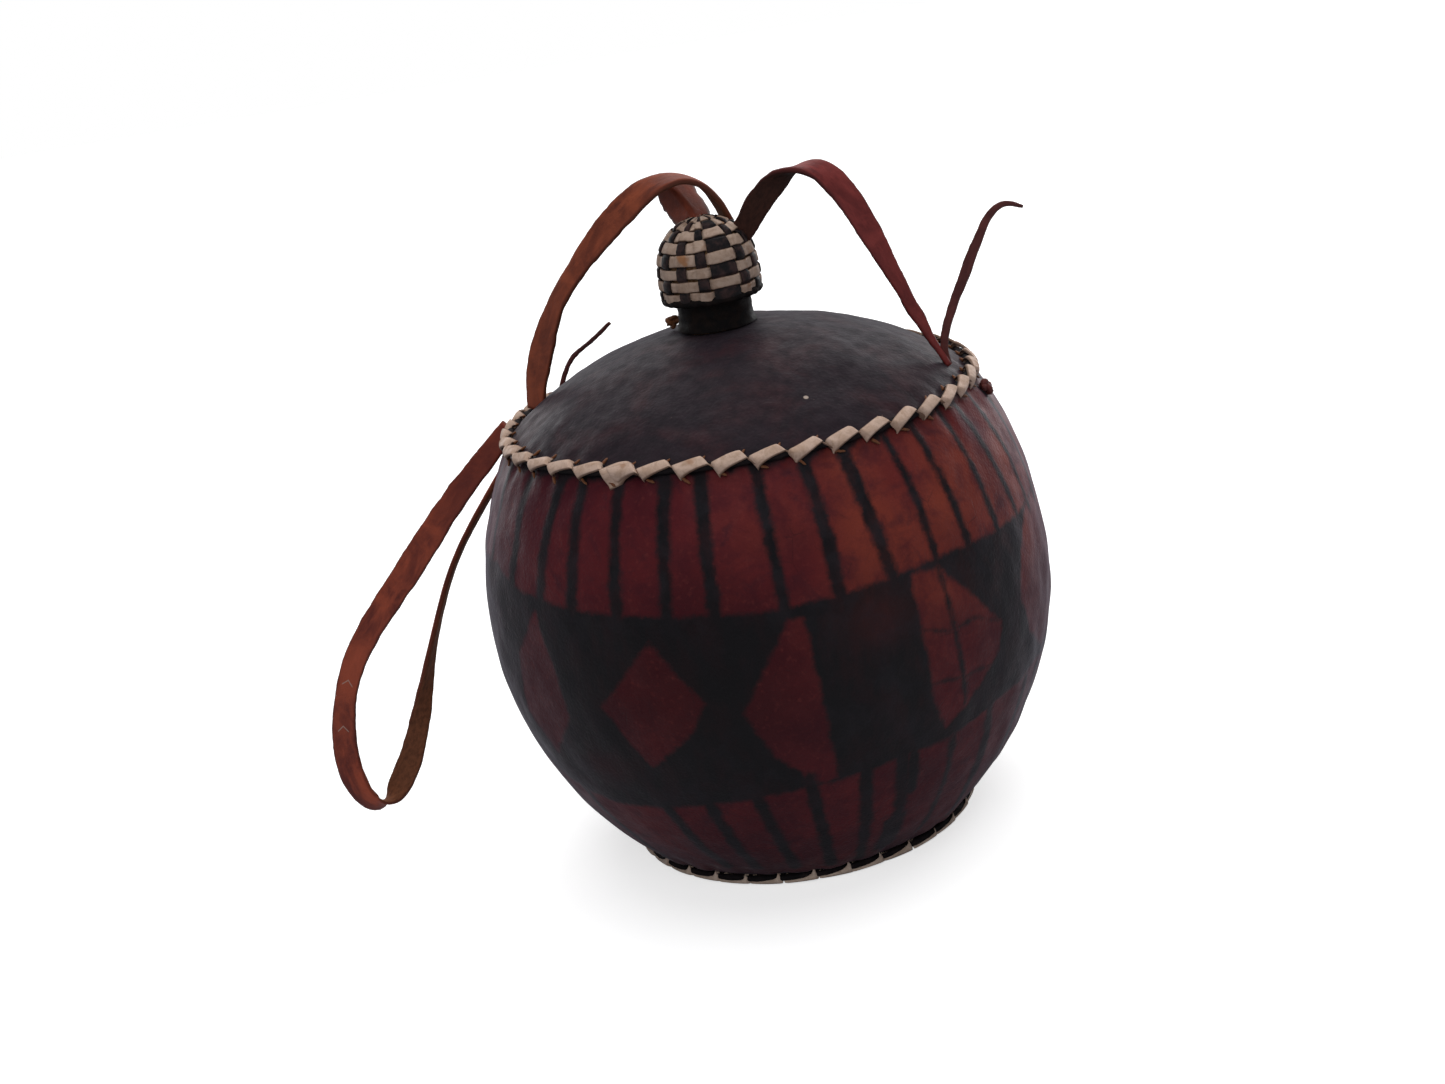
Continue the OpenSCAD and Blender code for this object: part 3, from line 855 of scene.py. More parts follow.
def make_tongue():
    """The strap's folded end, which comes up out of the stopper."""
    made = ribbon(with_columns(TONGUE_FOLD, TONGUE_WIDTH), ragged=0.45, cup=0.1, crease=1.1, seed=31)
    return strand("tongue_strap", made, SHADED_FOLD_STRAP, "stopper", "strap_leather", ["strap_tongue"])


def make_arch(name, node, route, tip, width, twist, leather, seed):
    """A strap from the crown's edge to the stopper."""
    made = ribbon(with_columns([*route, tip], width, twist), seed=seed)
    arch = strand(name, made, leather, None, "strap_leather", [node])
    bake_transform(arch)


def make_loop():
    made = ribbon(with_columns(LOOP, LOOP_WIDTH, LOOP_TWIST), ragged=0.08, seed=14)
    loop = strand("carrying_strap", made, STRAP, "gourd", "strap_leather", ["carrying_loop"])


def make_tail(name, node, route, width, seed):
    """A thin end that stands up from the crown's edge."""
    made = ribbon(with_columns(route, width), thickness=1.0, ragged=0.09, cup=0.1, seed=seed)
    tail = strand(name, made, TAIL, "gourd", "tail_leather", [node])


tongue = make_tongue()
make_arch("left_arch_strap", "strap_left_arch", LEFT_ARCH, LEFT_ARCH_TIP, LEFT_ARCH_WIDTH, LEFT_ARCH_TWIST,
          BROWN_STRAP, 3)
make_arch("right_arch_strap", "strap_right_arch", RIGHT_ARCH, RIGHT_ARCH_TIP, RIGHT_ARCH_WIDTH,
          RIGHT_ARCH_TWIST, RED_STRAP, 8)
make_loop()
right_knot = make_side_knot("right_tied_knot", "right_knot", 78.5, 113.0, 41)
left_knot = make_side_knot("left_tied_knot", "left_knot", -122, 113.8, 42)
make_tail("right_thin_tail", "right_tail", RIGHT_TAIL, RIGHT_TAIL_WIDTH, 43)
make_tail("left_thin_tail", "left_tail", LEFT_TAIL, LEFT_TAIL_WIDTH, 44)


# -------- the paint on the side cover

ARC_Z = np.linspace(0, 125, 1001)
ARC_LENGTH = np.concatenate([[0], np.cumsum(np.hypot(np.diff(ARC_Z), np.diff(gourd_r(ARC_Z))))])
ARC_LENGTH -= np.interp(EQUATOR_Z, ARC_Z, ARC_LENGTH)
FAR = 99.0


def arc_height(z):
    """Distance along the gourd's curve, up from its widest ring."""
    return np.interp(z, ARC_Z, ARC_LENGTH)


def to_segment(x, y, ax, ay, bx, by):
    """Distance from points to a line between two ends."""
    dx, dy = bx - ax, by - ay
    t = np.clip(((x - ax) * dx + (y - ay) * dy) / np.maximum(dx ** 2 + dy ** 2, 1e-9), 0, 1)
    return np.hypot(x - ax - t * dx, y - ay - t * dy)


class Paint:
    """Where the black paint lies: the distance inside its edge at each point, negative outside it.

    Shapes are drawn as (azimuth, height above the widest ring).
    """

    def __init__(self, azimuth, z):
        self.azimuth = azimuth
        self.height = arc_height(z)
        self.wide = degree_mm(z)
        self.ink = np.full(azimuth.shape, -FAR)

    def near(self, corners):
        """The points near a shape, and the shape's corners beside each of them."""
        corners = np.array(corners, float)
        middle = corners[:, 0].mean()
        span = np.abs(corners[:, 0] - middle).max() + 14
        turn = turn_from(self.azimuth, middle)
        chosen = np.abs(turn) < span
        wide = self.wide[chosen]
        heights = arc_height(EQUATOR_Z + corners[:, 1])
        line = [((a - middle) * wide, h) for a, h in zip(corners[:, 0], heights)]
        return chosen, turn[chosen] * wide, self.height[chosen], line

    def stroke(self, corners, thick):
        """A brush line whose full thickness goes from the first to the second value."""
        chosen, x, y, line = self.near(corners)
        found = np.full(x.shape, -FAR)
        count = len(line) - 1
        for k, (a, b) in enumerate(zip(line, line[1:])):
            half = (thick[0] + (thick[1] - thick[0]) * (k + 0.5) / count) / 2
            found = np.maximum(found, half - to_segment(x, y, *a, *b))
        self.ink[chosen] = np.maximum(self.ink[chosen], found)

    def inside(self, corners):
        """The points near a closed shape, and how far inside it they are."""
        chosen, x, y, line = self.near(corners)
        edge = np.full(x.shape, FAR)
        inside = np.zeros(x.shape, bool)
        for (ax, ay), (bx, by) in zip(line, line[1:] + line[:1]):
            edge = np.minimum(edge, to_segment(x, y, ax, ay, bx, by))
            crosses = (ay > y) != (by > y)
            at = ax + (y - ay) * (bx - ax) / np.where(by == ay, 1e-9, by - ay)
            inside ^= crosses & (x < at)
        return chosen, np.where(inside, edge, -edge)

    def fill(self, corners):
        chosen, depth = self.inside(corners)
        self.ink[chosen] = np.maximum(self.ink[chosen], depth)

    def leave(self, corners):
        """Leaves a shape unpainted."""
        chosen, depth = self.inside(corners)
        self.ink[chosen] = np.minimum(self.ink[chosen], -depth)

    def edge_height(self, corners):
        """Height at each point of an edge that goes all round."""
        return arc_height(EQUATOR_Z + np.interp(self.azimuth, *np.array(corners, float).T, period=360))

    def band(self, tops, bottoms):
        """A black band all round, between two uneven edges."""
        top, bottom = self.edge_height(tops), self.edge_height(bottoms)
        self.ink = np.maximum(self.ink, np.minimum(top - self.height, self.height - bottom))


BAND_TOP = [(-180, 24), (-140, 23), (-100, 27), (-69, 29), (-57, 25), (-35, 23), (0, 21), (35, 23), (60, 22),
            (100, 24), (140, 26)]
BAND_BOTTOM = [(-180, -25), (-120, -24), (-75, -26), (-58, -29), (-44, -32), (-30, -31), (0, -27),
               (32, -24.5), (50, -20.5), (63, -19), (100, -23)]
DIAMONDS = [
    [(-52, 21), (-60, 8), (-62, -8), (-56, -19), (-46.5, -6), (-47.5, 5)],
    [(-24, 16), (-36.8, -1), (-29.4, -18), (-18.5, -7), (-15.2, 0.5)],
    [(2.2, 18.3), (5.0, 17.9), (6.9, -25.5), (3.0, -25.8), (-4.2, -16.0), (-8.4, -3.0), (-4.5, 5.1)],
    [(27, 21), (33.4, 20.2), (46.8, 0.2), (45.5, -6.7), (36.8, -15.9), (31, -21), (28, -11.4), (27, 4.9)],
    [(66, 22), (58, 14), (54.5, 3), (57.5, -8), (67, -17), (80, -12), (84, 22)]]
FRONT_STRIPES = [(-59.5, -61), (-47, -50.5), (-40, -40.8), (-30, -30.3), (-19, -20), (-11, -10.7), (1, 2.1),
                 (11.5, 12.5), (20.5, 23.6), (31.8, 33.5), (40, 42), (51, 51.5), (58, 61), (66.6, 68.5)]
LOWER_LINES = [
    [(-30.4, -28), (-26.5, -56.3)], [(-20.2, -26), (-17.5, -56.6)], [(-10, -24), (-6.2, -57.5)],
    [(1.4, -24), (4, -58)], [(12.9, -24), (12.9, -42), (13.3, -59.5)],
    [(21, -22), (21.5, -40), (20.5, -58)], [(23.6, -22), (23.6, -37)]]
DIAMOND_BARS = [([(33.2, 21), (34.2, 5), (35.6, -16)], (1.7, 1.3)),
                ([(27, 7.5), (33, 4.5), (40, 4.8), (46, 1)], (0.5, 0.4)),
                ([(28, -7), (35, -8.5), (45, -9.5)], (0.5, 0.4))]


def paint_band(paint, rng):
    """The band, with the front's diamonds and plainer ones behind."""
    paint.band(BAND_TOP, BAND_BOTTOM)
    for corners in DIAMONDS:
        paint.leave(corners)
    for middle in range(100, 296, 28):
        wide = 9 + rng.uniform(-2, 2)
        lean = rng.uniform(-5, 5)
        paint.leave([(middle + lean, 16), (middle - wide, rng.uniform(-3, 3)), (middle - lean, -19),
                     (middle + wide, rng.uniform(-3, 3))])
    for corners, thick in DIAMOND_BARS:
        paint.stroke(corners, thick)


def paint_stripes(paint, rng):
    """Stripes from the seam to the band, and a dark patch under each lace hole: painted shadow of the lace,
    drawn into the black paint.
    """
    top = SEAM_Z - EQUATOR_Z
    stripes = FRONT_STRIPES + [(turn + 0.8, turn - 0.8) for turn in np.arange(76.5, 292, 9.6)]
    for upper, lower in stripes:
        thick = 3.6 if upper < 30 else 2.4
        sway = rng.uniform(-0.5, 0.5)
        paint.stroke([(upper, top), ((upper + lower) / 2 + sway, 36), (lower, 20)],
                     (thick * rng.uniform(0.8, 1.1), thick * rng.uniform(0.8, 1.15)))
    # Painted shadow: a black patch under each turn of the crown lace.
    for i in range(CROWN_TURNS):
        left = 360 * (i + 0.30) / CROWN_TURNS
        drop = rng.uniform(2.0, 3.0)
        paint.fill([(left, top + 2), (left + 6.6, top + 2), (left + 6.6, top - 0.6),
                    (left + 4.5, top - 0.6 * drop), (left + 1.5, top - drop), (left, top - 1.0)])


def paint_lower_lines(paint, rng):
    """Lines from the band down to the base."""
    for line in LOWER_LINES:
        paint.stroke(line, (4.4, 2.4))
    paint.stroke([(33, -21), (33.6, -40), (32.5, -56)], (2.4, 1.8))
    for turn in np.arange(45, 318, 11.4):
        lean = rng.uniform(-2.5, 2.5)
        paint.stroke([(turn + lean, -22), (turn - lean, -57)], (3.8, 2.4))
    paint.fill([(18, -45), (24, -43), (24, -58), (17, -58)])


def painted_pattern(azimuth, z):
    """The black paint: a band of diamonds between stripes, drawn by hand and different all round."""
    paint = Paint(azimuth, z)
    rng = np.random.default_rng(5)
    paint_band(paint, rng)
    paint_stripes(paint, rng)
    paint_lower_lines(paint, rng)
    return paint.ink


def soft_patch(azimuth, z, turn, height, wide, tall):
    """1 in the middle of a soft oval patch, given in degrees and millimetres."""
    return np.exp(-(turn_from(azimuth, turn) / wide) ** 2 - ((z - height) / tall) ** 2)


def dye_warmth(azimuth, z):
    """Where the red dye took brighter: high on the right of the front, and in a few places behind."""
    right = soft_patch(azimuth, z, 42, EQUATOR_Z + 34, 34, 26)
    back = 0.6 * soft_patch(azimuth, z, 200, EQUATOR_Z + 10, 40, 40)
    uneven = ripple(at_azimuth(azimuth, gourd_r(z), z), 22, 71)
    return np.clip((right + back) * (0.75 + 0.35 * uneven), 0, 1)


def deep_dye(azimuth, z):
    """Painted shade: 1 in the middle of the front, where the red and the black paint are darkened most."""
    return soft_patch(azimuth, z, -16, EQUATOR_Z + 4, 31, 26)


def faded_paint(azimuth, z):
    """Where the black paint has gone thin and the red shows through it."""
    spots = ((19, 77, 8, 7), (-40, 45, 7, 5), (130, 60, 9, 8), (214, 52, 8, 9))
    return np.clip(sum(soft_patch(azimuth, z, *spot) for spot in spots), 0, 1)


# -------- the covers

def shell(name, outer, inner, material, slot, replaces, **attributes):
    """A closed skin from a grid of outside points and one of inside points with the same columns."""
    columns = outer.shape[1]
    points = np.concatenate([outer.reshape(-1, 3), inner.reshape(-1, 3)])
    faces = grid_faces(len(points) // columns, columns, closed_rows=True)
    values = {}
    for key, found in attributes.items():
        rest = np.repeat(found[-1:], len(inner), 0)
        values[key] = np.concatenate([found, rest]).ravel()
    return new_piece(name, points, faces, material, "gourd", slot, replaces, **values)


def pucker(azimuth, away, turns, depth, reach, shift=0.0):
    """How far the lace pulls a cover in, near its seam: dents at each stitch, that fade out."""
    wave = 0.5 + 0.5 * np.cos(np.radians(azimuth * turns) + shift)
    return -depth * wave ** 2 * bell(away, reach)


def back_seam(azimuth, z):
    """Lifts one edge of the side cover over the other up the back."""
    seam = turn_from(azimuth, 180) * degree_mm(z) + 0.8 * flat_ripple(z, 0, 30, 14)
    lap = 0.9 / (1 + np.exp(-np.clip(seam / 0.28, -50, 50)))
    return lap * bell(np.maximum(seam, 0), 7) - 0.25 * bell(seam, 1.2)


def make_side_cover():
    low, high = LOW_RING_Z + 0.4, SEAM_Z - 0.3
    azimuth, z = round_grid(640, 236, low, high)
    places = at_azimuth(azimuth, gourd_r(z), z)
    depth = swells(places, (0.22, 34, 11), (0.10, 11, 12)) - 0.25
    depth += pucker(azimuth, high - z, CROWN_TURNS, 0.75, 5.0)
    depth += pucker(azimuth, z - low, BASE_TURNS, 0.6, 5.0)
    depth += 0.12 * flat_ripple(azimuth * 1.3, z * 0.16, 9, 13) * bell(high - z, 11)
    depth += back_seam(azimuth, z)
    turned_in = 1 - np.minimum(1, np.minimum(high - z, z - low) / 1.2)
    depth = np.maximum(depth - 0.5 * turned_in ** 2, -0.9)
    inner = on_gourd(*round_grid(640, 40, high, low), -LEATHER_T)
    shell("painted_side_cover", on_gourd(azimuth, z, depth), inner, PAINTED, "side_leather", ["side_cover"],
          ink=painted_pattern(azimuth, z), warmth=dye_warmth(azimuth, z), deep=deep_dye(azimuth, z),
          faded=faded_paint(azimuth, z))


def make_crown_cover():
    azimuth, share = round_grid(420, 110, 0, 1)
    hole = COLLAR_R + 0.15
    rim = SEAM_R - 0.3
    flat = at_azimuth(azimuth, hole + (rim - hole) * share, 0)
    x = NECK_X * (1 - share) + flat[..., 0]
    y = flat[..., 1]
    r = np.hypot(x, y)
    away = SEAM_R - r
    places = points_at(x, y, crown_z(r))
    depth = swells(places, (0.18, 24, 21), (0.05, 7, 22)) - 0.2
    depth += pucker(azimuth, away, CROWN_TURNS, 0.4, 4.5, math.pi * 0.8)
    depth += 0.06 * flat_ripple(azimuth * 0.9, r * 0.12, 6, 23) * bell(away, 13)
    depth = np.maximum(depth - 0.15 * np.clip(1 - away / 2.4, 0, 1) ** 2, -0.7)
    normal = unit(places - (0, 0, CROWN_CENTRE))
    outer = places + normal * depth[..., None]
    inner = (places - normal * LEATHER_T)[::-1][::4]
    shell("laced_crown_cover", outer, inner, CROWN, "crown_leather", ["crown_cover"])


def make_base_cover():
    rim = BASE_R - 2.2
    azimuth, r = round_grid(240, 36, 0.4, rim)
    height = 0.12 + 0.10 * (1 + ripple(at_azimuth(azimuth, r, 0), 14, 24)) + 0.5 * bell(rim - r, 2.0)
    height -= pucker(azimuth, rim - r, BASE_TURNS, 0.45, 4.0)
    under = at_azimuth(azimuth, r, np.maximum(height, 0.03))
    over = at_azimuth(azimuth, r, height + LEATHER_T)[::-1][::5]
    shell("laced_base_cover", under, over, UNDERSIDE, "base_leather", ["base_cover"])


# -------- welts, laces and stitches

def make_roll(name, node, points, material, body):
    """A leather roll from a grid of points that closes both ways."""
    rows, columns, _ = points.shape
    faces = grid_faces(rows, columns, closed_rows=True)
    new_piece(name, points, faces, material, body, "dark_thong", [node])


def make_welt(name, node, ring_r, ring_z, welt_r, turns, seed):
    """The soft roll of dark leather that the lace is bound over."""
    azimuth, around = roll_grid(700, 16)
    squeeze = 1 - 0.16 * (0.5 + 0.5 * np.cos(np.radians(azimuth * turns))) ** 2
    uneven = 1 + 0.07 * ripple(at_azimuth(azimuth, ring_r, ring_z), 5, seed)
    radius = welt_r * squeeze * uneven
    points = at_azimuth(azimuth, ring_r + radius * np.cos(around), ring_z + radius * np.sin(around))
    make_roll(name, node, points, WELT, "gourd")


LACE_W, LACE_T = 3.15, 0.7
UNDER_W, UNDER_T = 1.6, 0.4
LACE_LOW = -1.45
LACE_SLANT = -55


def lace_strip(parts, ring, faces_up, start, end, rise, width, thick, seed, reach, tucked_shade=0.0):
    """One flat run of lace laid slantwise over a welt, whose ends fold down through its holes.

    start and end are its two ends' places, as (along the seam, across it). Its width is measured
    along its slanting ends, and rise is its height over the welt's middle, which falls away at
    reach. A tucked run is darkened all over: painted shade under the long run that covers it.
    reach. tucked darkens a hidden run.
    """
    ring_r, ring_z = ring
    steps = 23
    rng = np.random.default_rng(seed)
    t = np.linspace(0, 1, steps)[:, None]
    half = width / 2 * (1 + 0.05 * rng.normal() + 0.04 * np.sin(4 * t + rng.uniform(0, 6)))
    x, level = flat_bar(SECTION, half, thick, 0.3 * thick)
    slant = math.radians(LACE_SLANT + 4 * rng.normal())
    along = start[0] + (end[0] - start[0]) * t + x * math.cos(slant)
    side = start[1] + (end[1] - start[1]) * t + x * math.sin(slant)
    side = side + 0.12 * rng.normal() * np.sin(np.pi * t)
    height = np.maximum(rise - (rise + 0.7) * (side / reach) ** 4, -0.9)
    height = height - 1.2 * np.clip((np.abs(2 * t - 1) - 0.88) / 0.12, 0, 1) ** 2
    y = height + level + 0.07 * (1 - (x / half) ** 2) + 0.10 * rng.normal() * x / half
    up = math.radians(faces_up)
    r = ring_r + y * math.cos(up) - side * math.sin(up)
    z = np.maximum(ring_z + y * math.sin(up) + side * math.cos(up), 0.03)
    # A tucked run counts as edge all over, so its whole colour gets painted shade.
    edge = np.maximum(np.abs(x) / half, tucked_shade)
    points = at_azimuth(np.degrees(along / ring_r), r, z)
    parts.add(points, tube_faces(steps, len(SECTION)), edge=edge.ravel())


def make_lacing(name, node, ring, faces_up, turns, seed, material, rise, scale, run, climb, wrap,
                start=None):
    """One flat lace in a zigzag: long slanting runs over the welt, with short ones tucked under them.

    run is half a long run's length in pitches, climb how far it reaches past the welt's middle, and
    wrap how flat it lies there. start is the azimuth where the doubled ends lie, if they show.
    """
    parts = Parts()
    pitch = 2 * np.pi * ring[0] / turns
    rng = np.random.default_rng(seed)
    run = run * pitch
    reach = wrap * scale
    for i in range(turns):
        middle = pitch * (i + 0.5) + rng.uniform(-0.3, 0.3)
        low = LACE_LOW * scale * rng.uniform(0.85, 1.15)
        high = climb * scale * rng.uniform(0.8, 1.25)
        first = seed * 1000 + 3 * i
        # The short run tucked under the long one is painted in shade.
        lace_strip(parts, ring, faces_up, (middle + run - 0.5, high), (middle + pitch - run + 0.5, low),
                   rise - 0.75, UNDER_W * scale, UNDER_T, first, reach, tucked_shade=1.0)
        width = LACE_W * scale
        if start is not None and abs(turn_from(360 * (i + 0.5) / turns, start)) < 180 / turns:
            width *= 1.45
            low -= 0.9
            lace_strip(parts, ring, faces_up, (middle - run + 2.2, low + 0.7),
                       (middle + run + 1.4, high - 0.9), rise + LACE_T, width * 0.75, LACE_T, first + 1,
                       reach)
        lace_strip(parts, ring, faces_up, (middle - run, low), (middle + run, high),
                   rise, width, LACE_T, first + 2, reach)
    parts.piece(name, material, "gourd", "lace", [node])


def make_crown_stitches():
    """Brown thong ends that show at the lace's holes: one below each turn and one on the crown."""
    parts = Parts()
    rng = np.random.default_rng(52)
    shares = np.array([0, 0.5, 1.0])
    bent = np.array([0, 0.45, 0.95])
    for i in range(CROWN_TURNS):
        azimuth = 360 * (i + 0.27) / CROWN_TURNS + rng.uniform(-0.5, 0.5)
        top = SEAM_Z - 1.8 + rng.uniform(-0.2, 0.2)
        reach = rng.uniform(0.8, 2.4)
        drop = rng.uniform(0.6, 1.4)
        ends = on_gourd(azimuth + reach * bent, top - drop * shares, 0.25)
        short_thong(parts, ends, 0.8, 520 + i)
        turn = 360 * (i + 0.81) / CROWN_TURNS + rng.uniform(-0.6, 0.6)
        frayed = 2.0 if 285 < turn < 325 else 1.2
        inner = SEAM_R - 1.3 - shares * frayed * rng.uniform(0.5, 1.0)
        ends = at_azimuth(turn + np.array([0, 0.4, 0.9]), inner, crown_z(inner) + 0.15)
        short_thong(parts, ends, 0.8, 620 + i)
    parts.piece("crown_thong_ends", THONG, "gourd", "thong", ["crown_stitches"])


def make_back_stitches():
    """Slanting stitches that close the side cover up the back."""
    parts = Parts()
    rng = np.random.default_rng(53)
    share = np.linspace(-1, 1, 7)
    lift = 0.95 * (1 - share ** 2) ** 0.5 - 0.75 + 0.55 * (share < 0.2)
    for i, middle in enumerate(np.linspace(11, SEAM_Z - 8, 18)):
        height = middle + rng.uniform(-0.3, 0.3) + 1.5 * share
        ends = on_gourd(180 - 3.2 * share / degree_mm(height), height, lift)
        short_thong(parts, ends, 1.5, 560 + i)
    parts.piece("back_seam_thongs", THONG, "gourd", "thong", ["side_seam_stitches"])


# -------- the neck

def make_neck_wrap():
    """Leather wound on the collar, with soft rings and a foot that spreads on the crown."""
    columns = 200
    foot = 138.2
    winding = 2.4
    azimuth, share = round_grid(columns, 70, 0, 1)
    z = foot + (NECK_TOP - foot) * share
    r = NECK_R + 0.1 + 0.7 * bell(z - foot, 1.4)
    wound = np.sin((z - azimuth / 360 * winding) * 2 * np.pi / winding)
    uneven = ripple(at_azimuth(azimuth, r, z), 6, 61)
    r = r + 0.05 * wound + 0.10 * uneven - 0.35 * np.clip((z - NECK_TOP + 0.8) / 0.8, 0, 1) ** 2
    outer = round_neck(azimuth, r, z)
    low = crown_z(np.minimum(np.hypot(outer[..., 0], outer[..., 1]), SEAM_R)) + 0.02
    outer[..., 2] = np.maximum(z, low * (1 - share) + z * share)
    azimuth, height = round_grid(columns, 12, NECK_TOP, foot + 0.5)
    inner = round_neck(azimuth, COLLAR_R + 0.05, height)
    shell("wound_neck_wrap", outer, inner, NECK, "neck_leather", ["neck_wrap"])


def make_neck_knot():
    """The small knotted end at the back left of the neck's foot."""
    parts = Parts()
    knot = np.array([NECK_X - 11.4, 5.6, 139.6])
    turned = np.array([[0.5, 0.2, 0.8], [0.8, -0.3, -0.4], [0.2, 0.9, -0.3]])
    short_thong(parts, knot + knot_points(3.4) @ turned, 1.3, 63)
    short_thong(parts, [knot + (2.6, -1.2, 0.3), knot, knot + (-1.6, 0.5, -0.9)], 1.3, 64)
    parts.piece("neck_tied_knot", THONG, "gourd", "thong", ["neck_knot"])


# -------- the woven stopper

WARP_COUNT = 14
WARP_PITCH = 360 / WARP_COUNT
FIRST_WARP = -58.5
WIDE_WARP = 3
ROWS = 8
ROW_PITCH = 3.05
FIRST_ROW = 1.35
WEAVE_LIFT = 0.85
WEAVE_WAVE = 0.42
WEAVE_T = 0.62
WEAVE_CORNER = 0.25


def head_outline(up, lift):
    """Radius and height on the head at a distance up its outline, lifted off the core."""
    angle = np.linspace(0, math.pi / 2, 60)
    line_r = np.concatenate([[HEAD_CORE_R], HEAD_CORE_R * np.cos(angle)])
    line_z = np.concatenate([[0], HEAD_SKIRT + HEAD_DOME * np.sin(angle)])
    along = np.concatenate([[0], np.cumsum(np.hypot(np.diff(line_r), np.diff(line_z)))])
    up = np.asarray(up, float)
    r = np.interp(up, along, line_r)
    z = np.interp(up, along, line_z)
    bend = np.clip((z - HEAD_SKIRT) / HEAD_DOME, 0, 1)
    out_r = r / HEAD_CORE_R ** 2
    out_z = np.where(z > HEAD_SKIRT, (z - HEAD_SKIRT) / HEAD_DOME ** 2, 0)
    size = np.hypot(out_r, out_z)
    belly = 0.35 * np.sin(np.clip(z / HEAD_SKIRT, 0, 1) * np.pi) * (1 - bend)
    return r + (lift + belly) * out_r / size, z + lift * out_z / size


def head_point(azimuth, up, lift):
    r, z = head_outline(up, lift)
    return round_neck(azimuth, r, HEAD_Z + z)


def warp_half(j):
    """Half the width of a warp strip, in degrees."""
    return 16.0 if j == WIDE_WARP else 6.5


def eased(share):
    """0 to 1, slow at both ends."""
    share = np.clip(share, 0, 1)
    return share * share * (3 - 2 * share)


def over_warp(azimuth, row):
    """1 where this row's weft passes over a warp, -1 where it passes under, 0 between warps."""
    found = np.zeros_like(azimuth)
    for j in range(WARP_COUNT):
        away = np.abs(turn_from(azimuth, FIRST_WARP + WARP_PITCH * j))
        side = -1 if (j + row) % 2 else 1
        found += side * eased((warp_half(j) + 2.5 - away) / 3.5)
    return found


def make_wefts():
    """Light strips that run round the head, under and over the warps."""
    parts = Parts()
    columns = 252
    azimuth = np.linspace(0, 360, columns, endpoint=False)
    turn = np.radians(azimuth)
    rng = np.random.default_rng(81)
    section = flat_section(7, 3)
    for row in range(ROWS):
        sway = flat_ripple(np.cos(turn) * 10, np.sin(turn) * 10, 12, row)
        middle = FIRST_ROW + ROW_PITCH * row + 0.12 * sway
        lift = WEAVE_LIFT + WEAVE_WAVE * over_warp(azimuth, row)
        half = (1.28 + 0.06 * rng.normal()) * (1 + 0.05 * flat_ripple(azimuth / 6, 0, 4, row + 9))
        across, level = flat_bar(section, half[:, None], WEAVE_T, WEAVE_CORNER)
        share = np.abs(across) / half[:, None]
        level = level + 0.04 * (1 - share ** 2)
        points = head_point(azimuth[:, None], middle[:, None] + across, lift[:, None] + level)
        faces = grid_faces(columns, len(section), closed_rows=True)
        parts.add(points, faces, edge=share.ravel())
    parts.piece("woven_wefts", WEFT, "stopper", "light_weave", ["stopper_wefts"])


def make_warps():
    """Dark strips that run up the head, over and under the wefts."""
    parts = Parts()
    steps = 110
    section = flat_section(9, 3)
    up = np.linspace(-0.2, FIRST_ROW + ROW_PITCH * (ROWS - 0.35), steps)
    row = (up - FIRST_ROW) / ROW_PITCH
    nearest = np.clip(np.round(row), 0, ROWS - 1).astype(int)
    r = np.maximum(head_outline(up, 0.5)[0], 2.0)[:, None]
    for j in range(WARP_COUNT):
        side = np.where((j + nearest) % 2, 1, -1)
        lift = WEAVE_LIFT + WEAVE_WAVE * side * eased((0.5 - np.abs(row - nearest)) / 0.22)
        half = math.radians(warp_half(j)) * r
        across, level = flat_bar(section, half, WEAVE_T, WEAVE_CORNER)
        level = level + 0.14 * (1 - (across / half) ** 2)
        turn = FIRST_WARP + WARP_PITCH * j + np.degrees(across / r)
        parts.add(head_point(turn, up[:, None], lift[:, None] + level), tube_faces(steps, len(section)))
    parts.piece("woven_warps", WARP, "stopper", "dark_weave", ["stopper_warps"])


def make_rim():
    """The rolled dark edge of the head, bound by its own strip."""
    azimuth, around = roll_grid(300, 18)
    ring = (RIM_HIGH[0] - RIM_LOW[0]) / 2 - 1.7
    middle = (RIM_LOW[2] + RIM_HIGH[2]) / 2
    bound = 1 + 0.07 * np.sin(np.radians(azimuth * 26) + 1.2 * np.sin(around))
    radius = 1.15 * bound * (1 + 0.06 * ripple(at_azimuth(azimuth, ring, around), 5, 91))
    points = round_neck(azimuth, ring + radius * np.cos(around), middle + radius * np.sin(around) * 0.95)
    make_roll("rolled_rim", "stopper_rim", points, RIM, "stopper")


# -------- the seeds

SEED_PITCH = 7.6
SEED_D = 6.0
TOP_SEED_D = 5.4
TOP_ROW_LIFT = 6.3
SEED_ROLL_Z = 72.0
SEED_FLATNESS = (1, 0.80, 0.66)


def round_ball():
    """Points and faces of a ball of radius 1, with its poles last."""
    rings, sides = 11, 20
    theta = np.linspace(0, np.pi, rings + 2)[1:-1]
    phi = np.linspace(0, 2 * np.pi, sides, endpoint=False)
    wide, tall = np.sin(theta), np.cos(theta)
    skin = [np.outer(wide, np.cos(phi)), np.outer(wide, np.sin(phi)), np.outer(tall, np.ones(sides))]
    points = np.vstack([np.stack(skin, -1).reshape(-1, 3), (0, 0, 1), (0, 0, -1)])
    top = rings * sides
    last = top - sides
    caps = [[top, k, (k + 1) % sides] for k in range(sides)]
    caps += [[top + 1, last + (k + 1) % sides, last + k] for k in range(sides)]
    return points, grid_faces(rings, sides) + caps


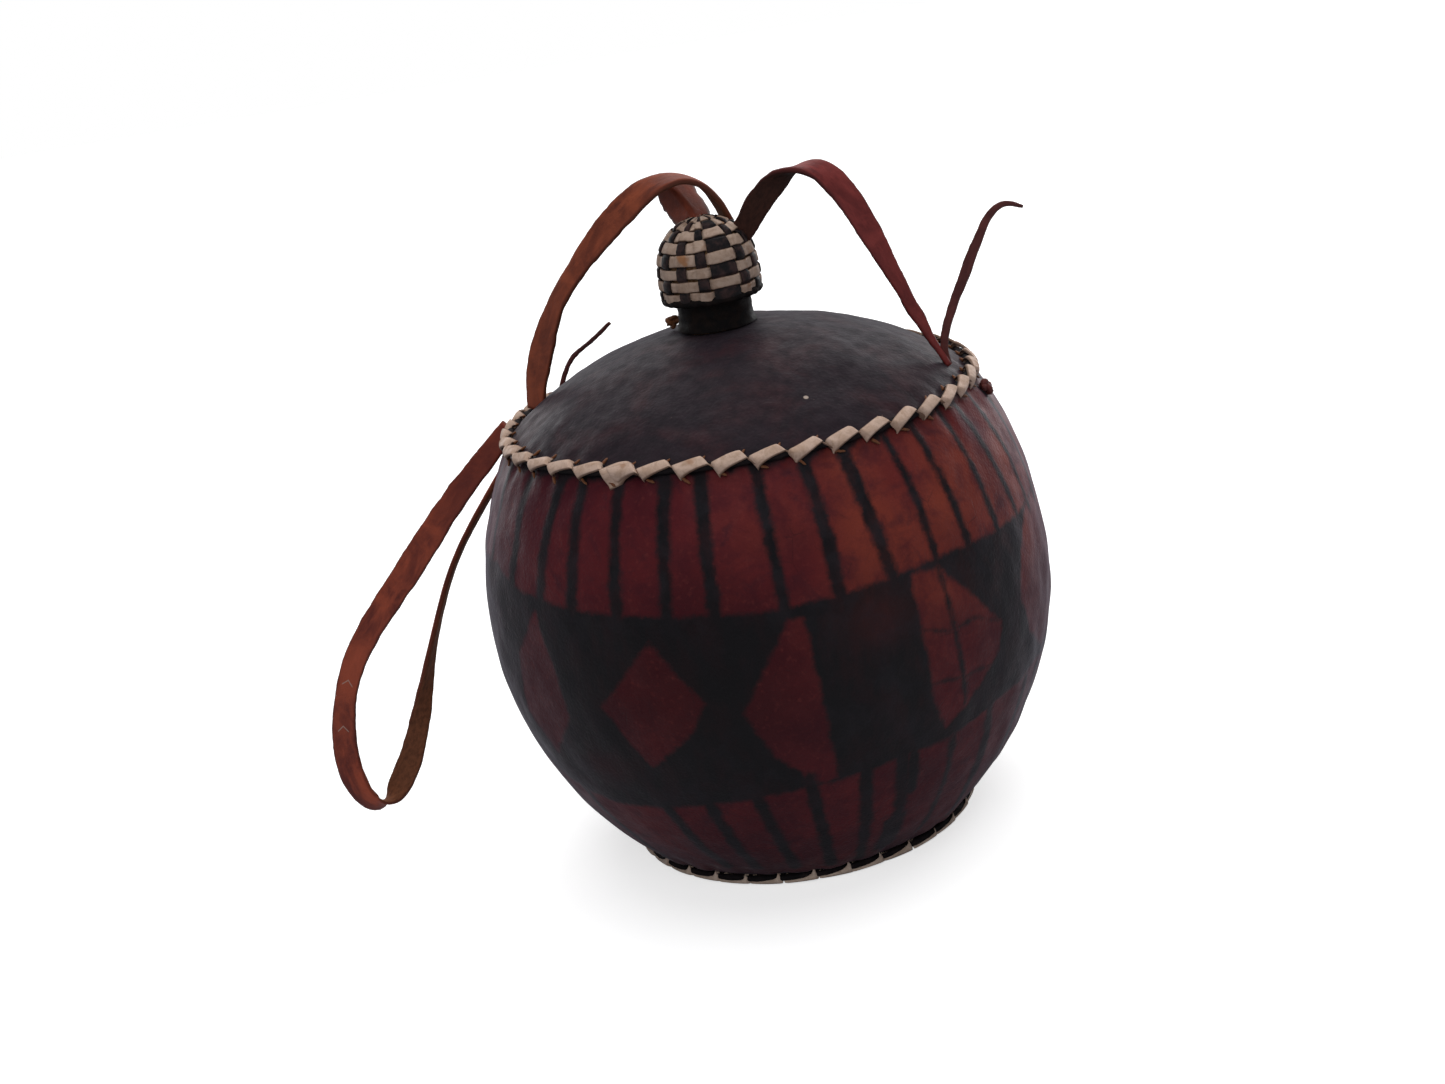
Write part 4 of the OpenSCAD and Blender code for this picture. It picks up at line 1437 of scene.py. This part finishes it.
def seed_rows(lane):
    """A low row of seven seeds and four on top: angle from the bottom, shift, size and height above."""
    rows = [((i - 3) * SEED_PITCH, 2.5 * math.sin(math.radians(140 * i + 5 * lane)),
             (1, 0.88, 0.94)[i % 3] * SEED_D, 0) for i in range(7)]
    rows += [((i - 1.5) * SEED_PITCH * 1.1, 2 * math.sin(math.radians(200 * i + 3 * lane)),
              TOP_SEED_D, TOP_ROW_LIFT) for i in range(4)]
    return rows


def make_seeds(side, lane, seed):
    """Loose seeds inside the gourd, in the places of the CAD lane's balls."""
    node = "seeds_" + side
    floor_z = box_mm(node)[0][2] - 0.3
    swing = SEED_ROLL_Z - floor_z - 0.3
    parts = Parts()
    rng = np.random.default_rng(seed)
    ball, faces = round_ball()
    for k, (degrees, shift, size, lift) in enumerate(seed_rows(lane)):
        a = math.radians(degrees)
        reach = swing - size / 2 - lift
        centre = np.array([lane + shift, reach * math.sin(a), SEED_ROLL_Z - reach * math.cos(a)])
        lumps = ripple(ball * 4, 3, seed + k % 7)
        shape = ball * SEED_FLATNESS * (1 + 0.05 * lumps)[:, None]
        spin = np.linalg.qr(rng.normal(size=(3, 3)))[0]
        points = centre + shape @ spin.T * size / 2 * 0.96
        parts.add(points, faces, tone=rng.uniform(0, 1))
    parts.piece("loose_" + node, SEED, "seed_lane_" + side, "seed", [node])


def finish_cad(node, material):
    """Gives a CAD part that stays its material."""
    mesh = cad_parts[node].data
    mesh.materials.clear()
    mesh.materials.append(material)


make_side_cover()
make_crown_cover()
make_base_cover()
make_welt("crown_seam_welt", "crown_welt", SEAM_R, SEAM_Z, WELT_R, CROWN_TURNS, 17)
make_welt("base_seam_welt", "base_welt", LOW_RING_R, LOW_RING_Z, 0.9, BASE_TURNS, 18)
make_lacing("crown_seam_lace", "crown_lacing", (SEAM_R, SEAM_Z), 43.5, CROWN_TURNS, 6, LACE,
            rise=1.75, scale=1.0, run=0.40, climb=0.95, wrap=2.9, start=-29)
make_lacing("base_seam_lace", "base_lacing", (LOW_RING_R, LOW_RING_Z), -56, BASE_TURNS, 7, LIT_BASE_LACE,
            rise=1.0, scale=0.75, run=0.46, climb=0.65, wrap=2.15)
make_crown_stitches()
make_back_stitches()
make_neck_wrap()
make_neck_knot()
make_wefts()
make_warps()
make_rim()
for side, lane, seed in (("left", -16, 101), ("middle", 0, 102), ("right", 16, 103)):
    make_seeds(side, lane, seed)
finish_cad("gourd_shell", GOURD)
for node in ("neck_collar", "stopper_plug", "stopper_head"):
    finish_cad(node, TURNED)
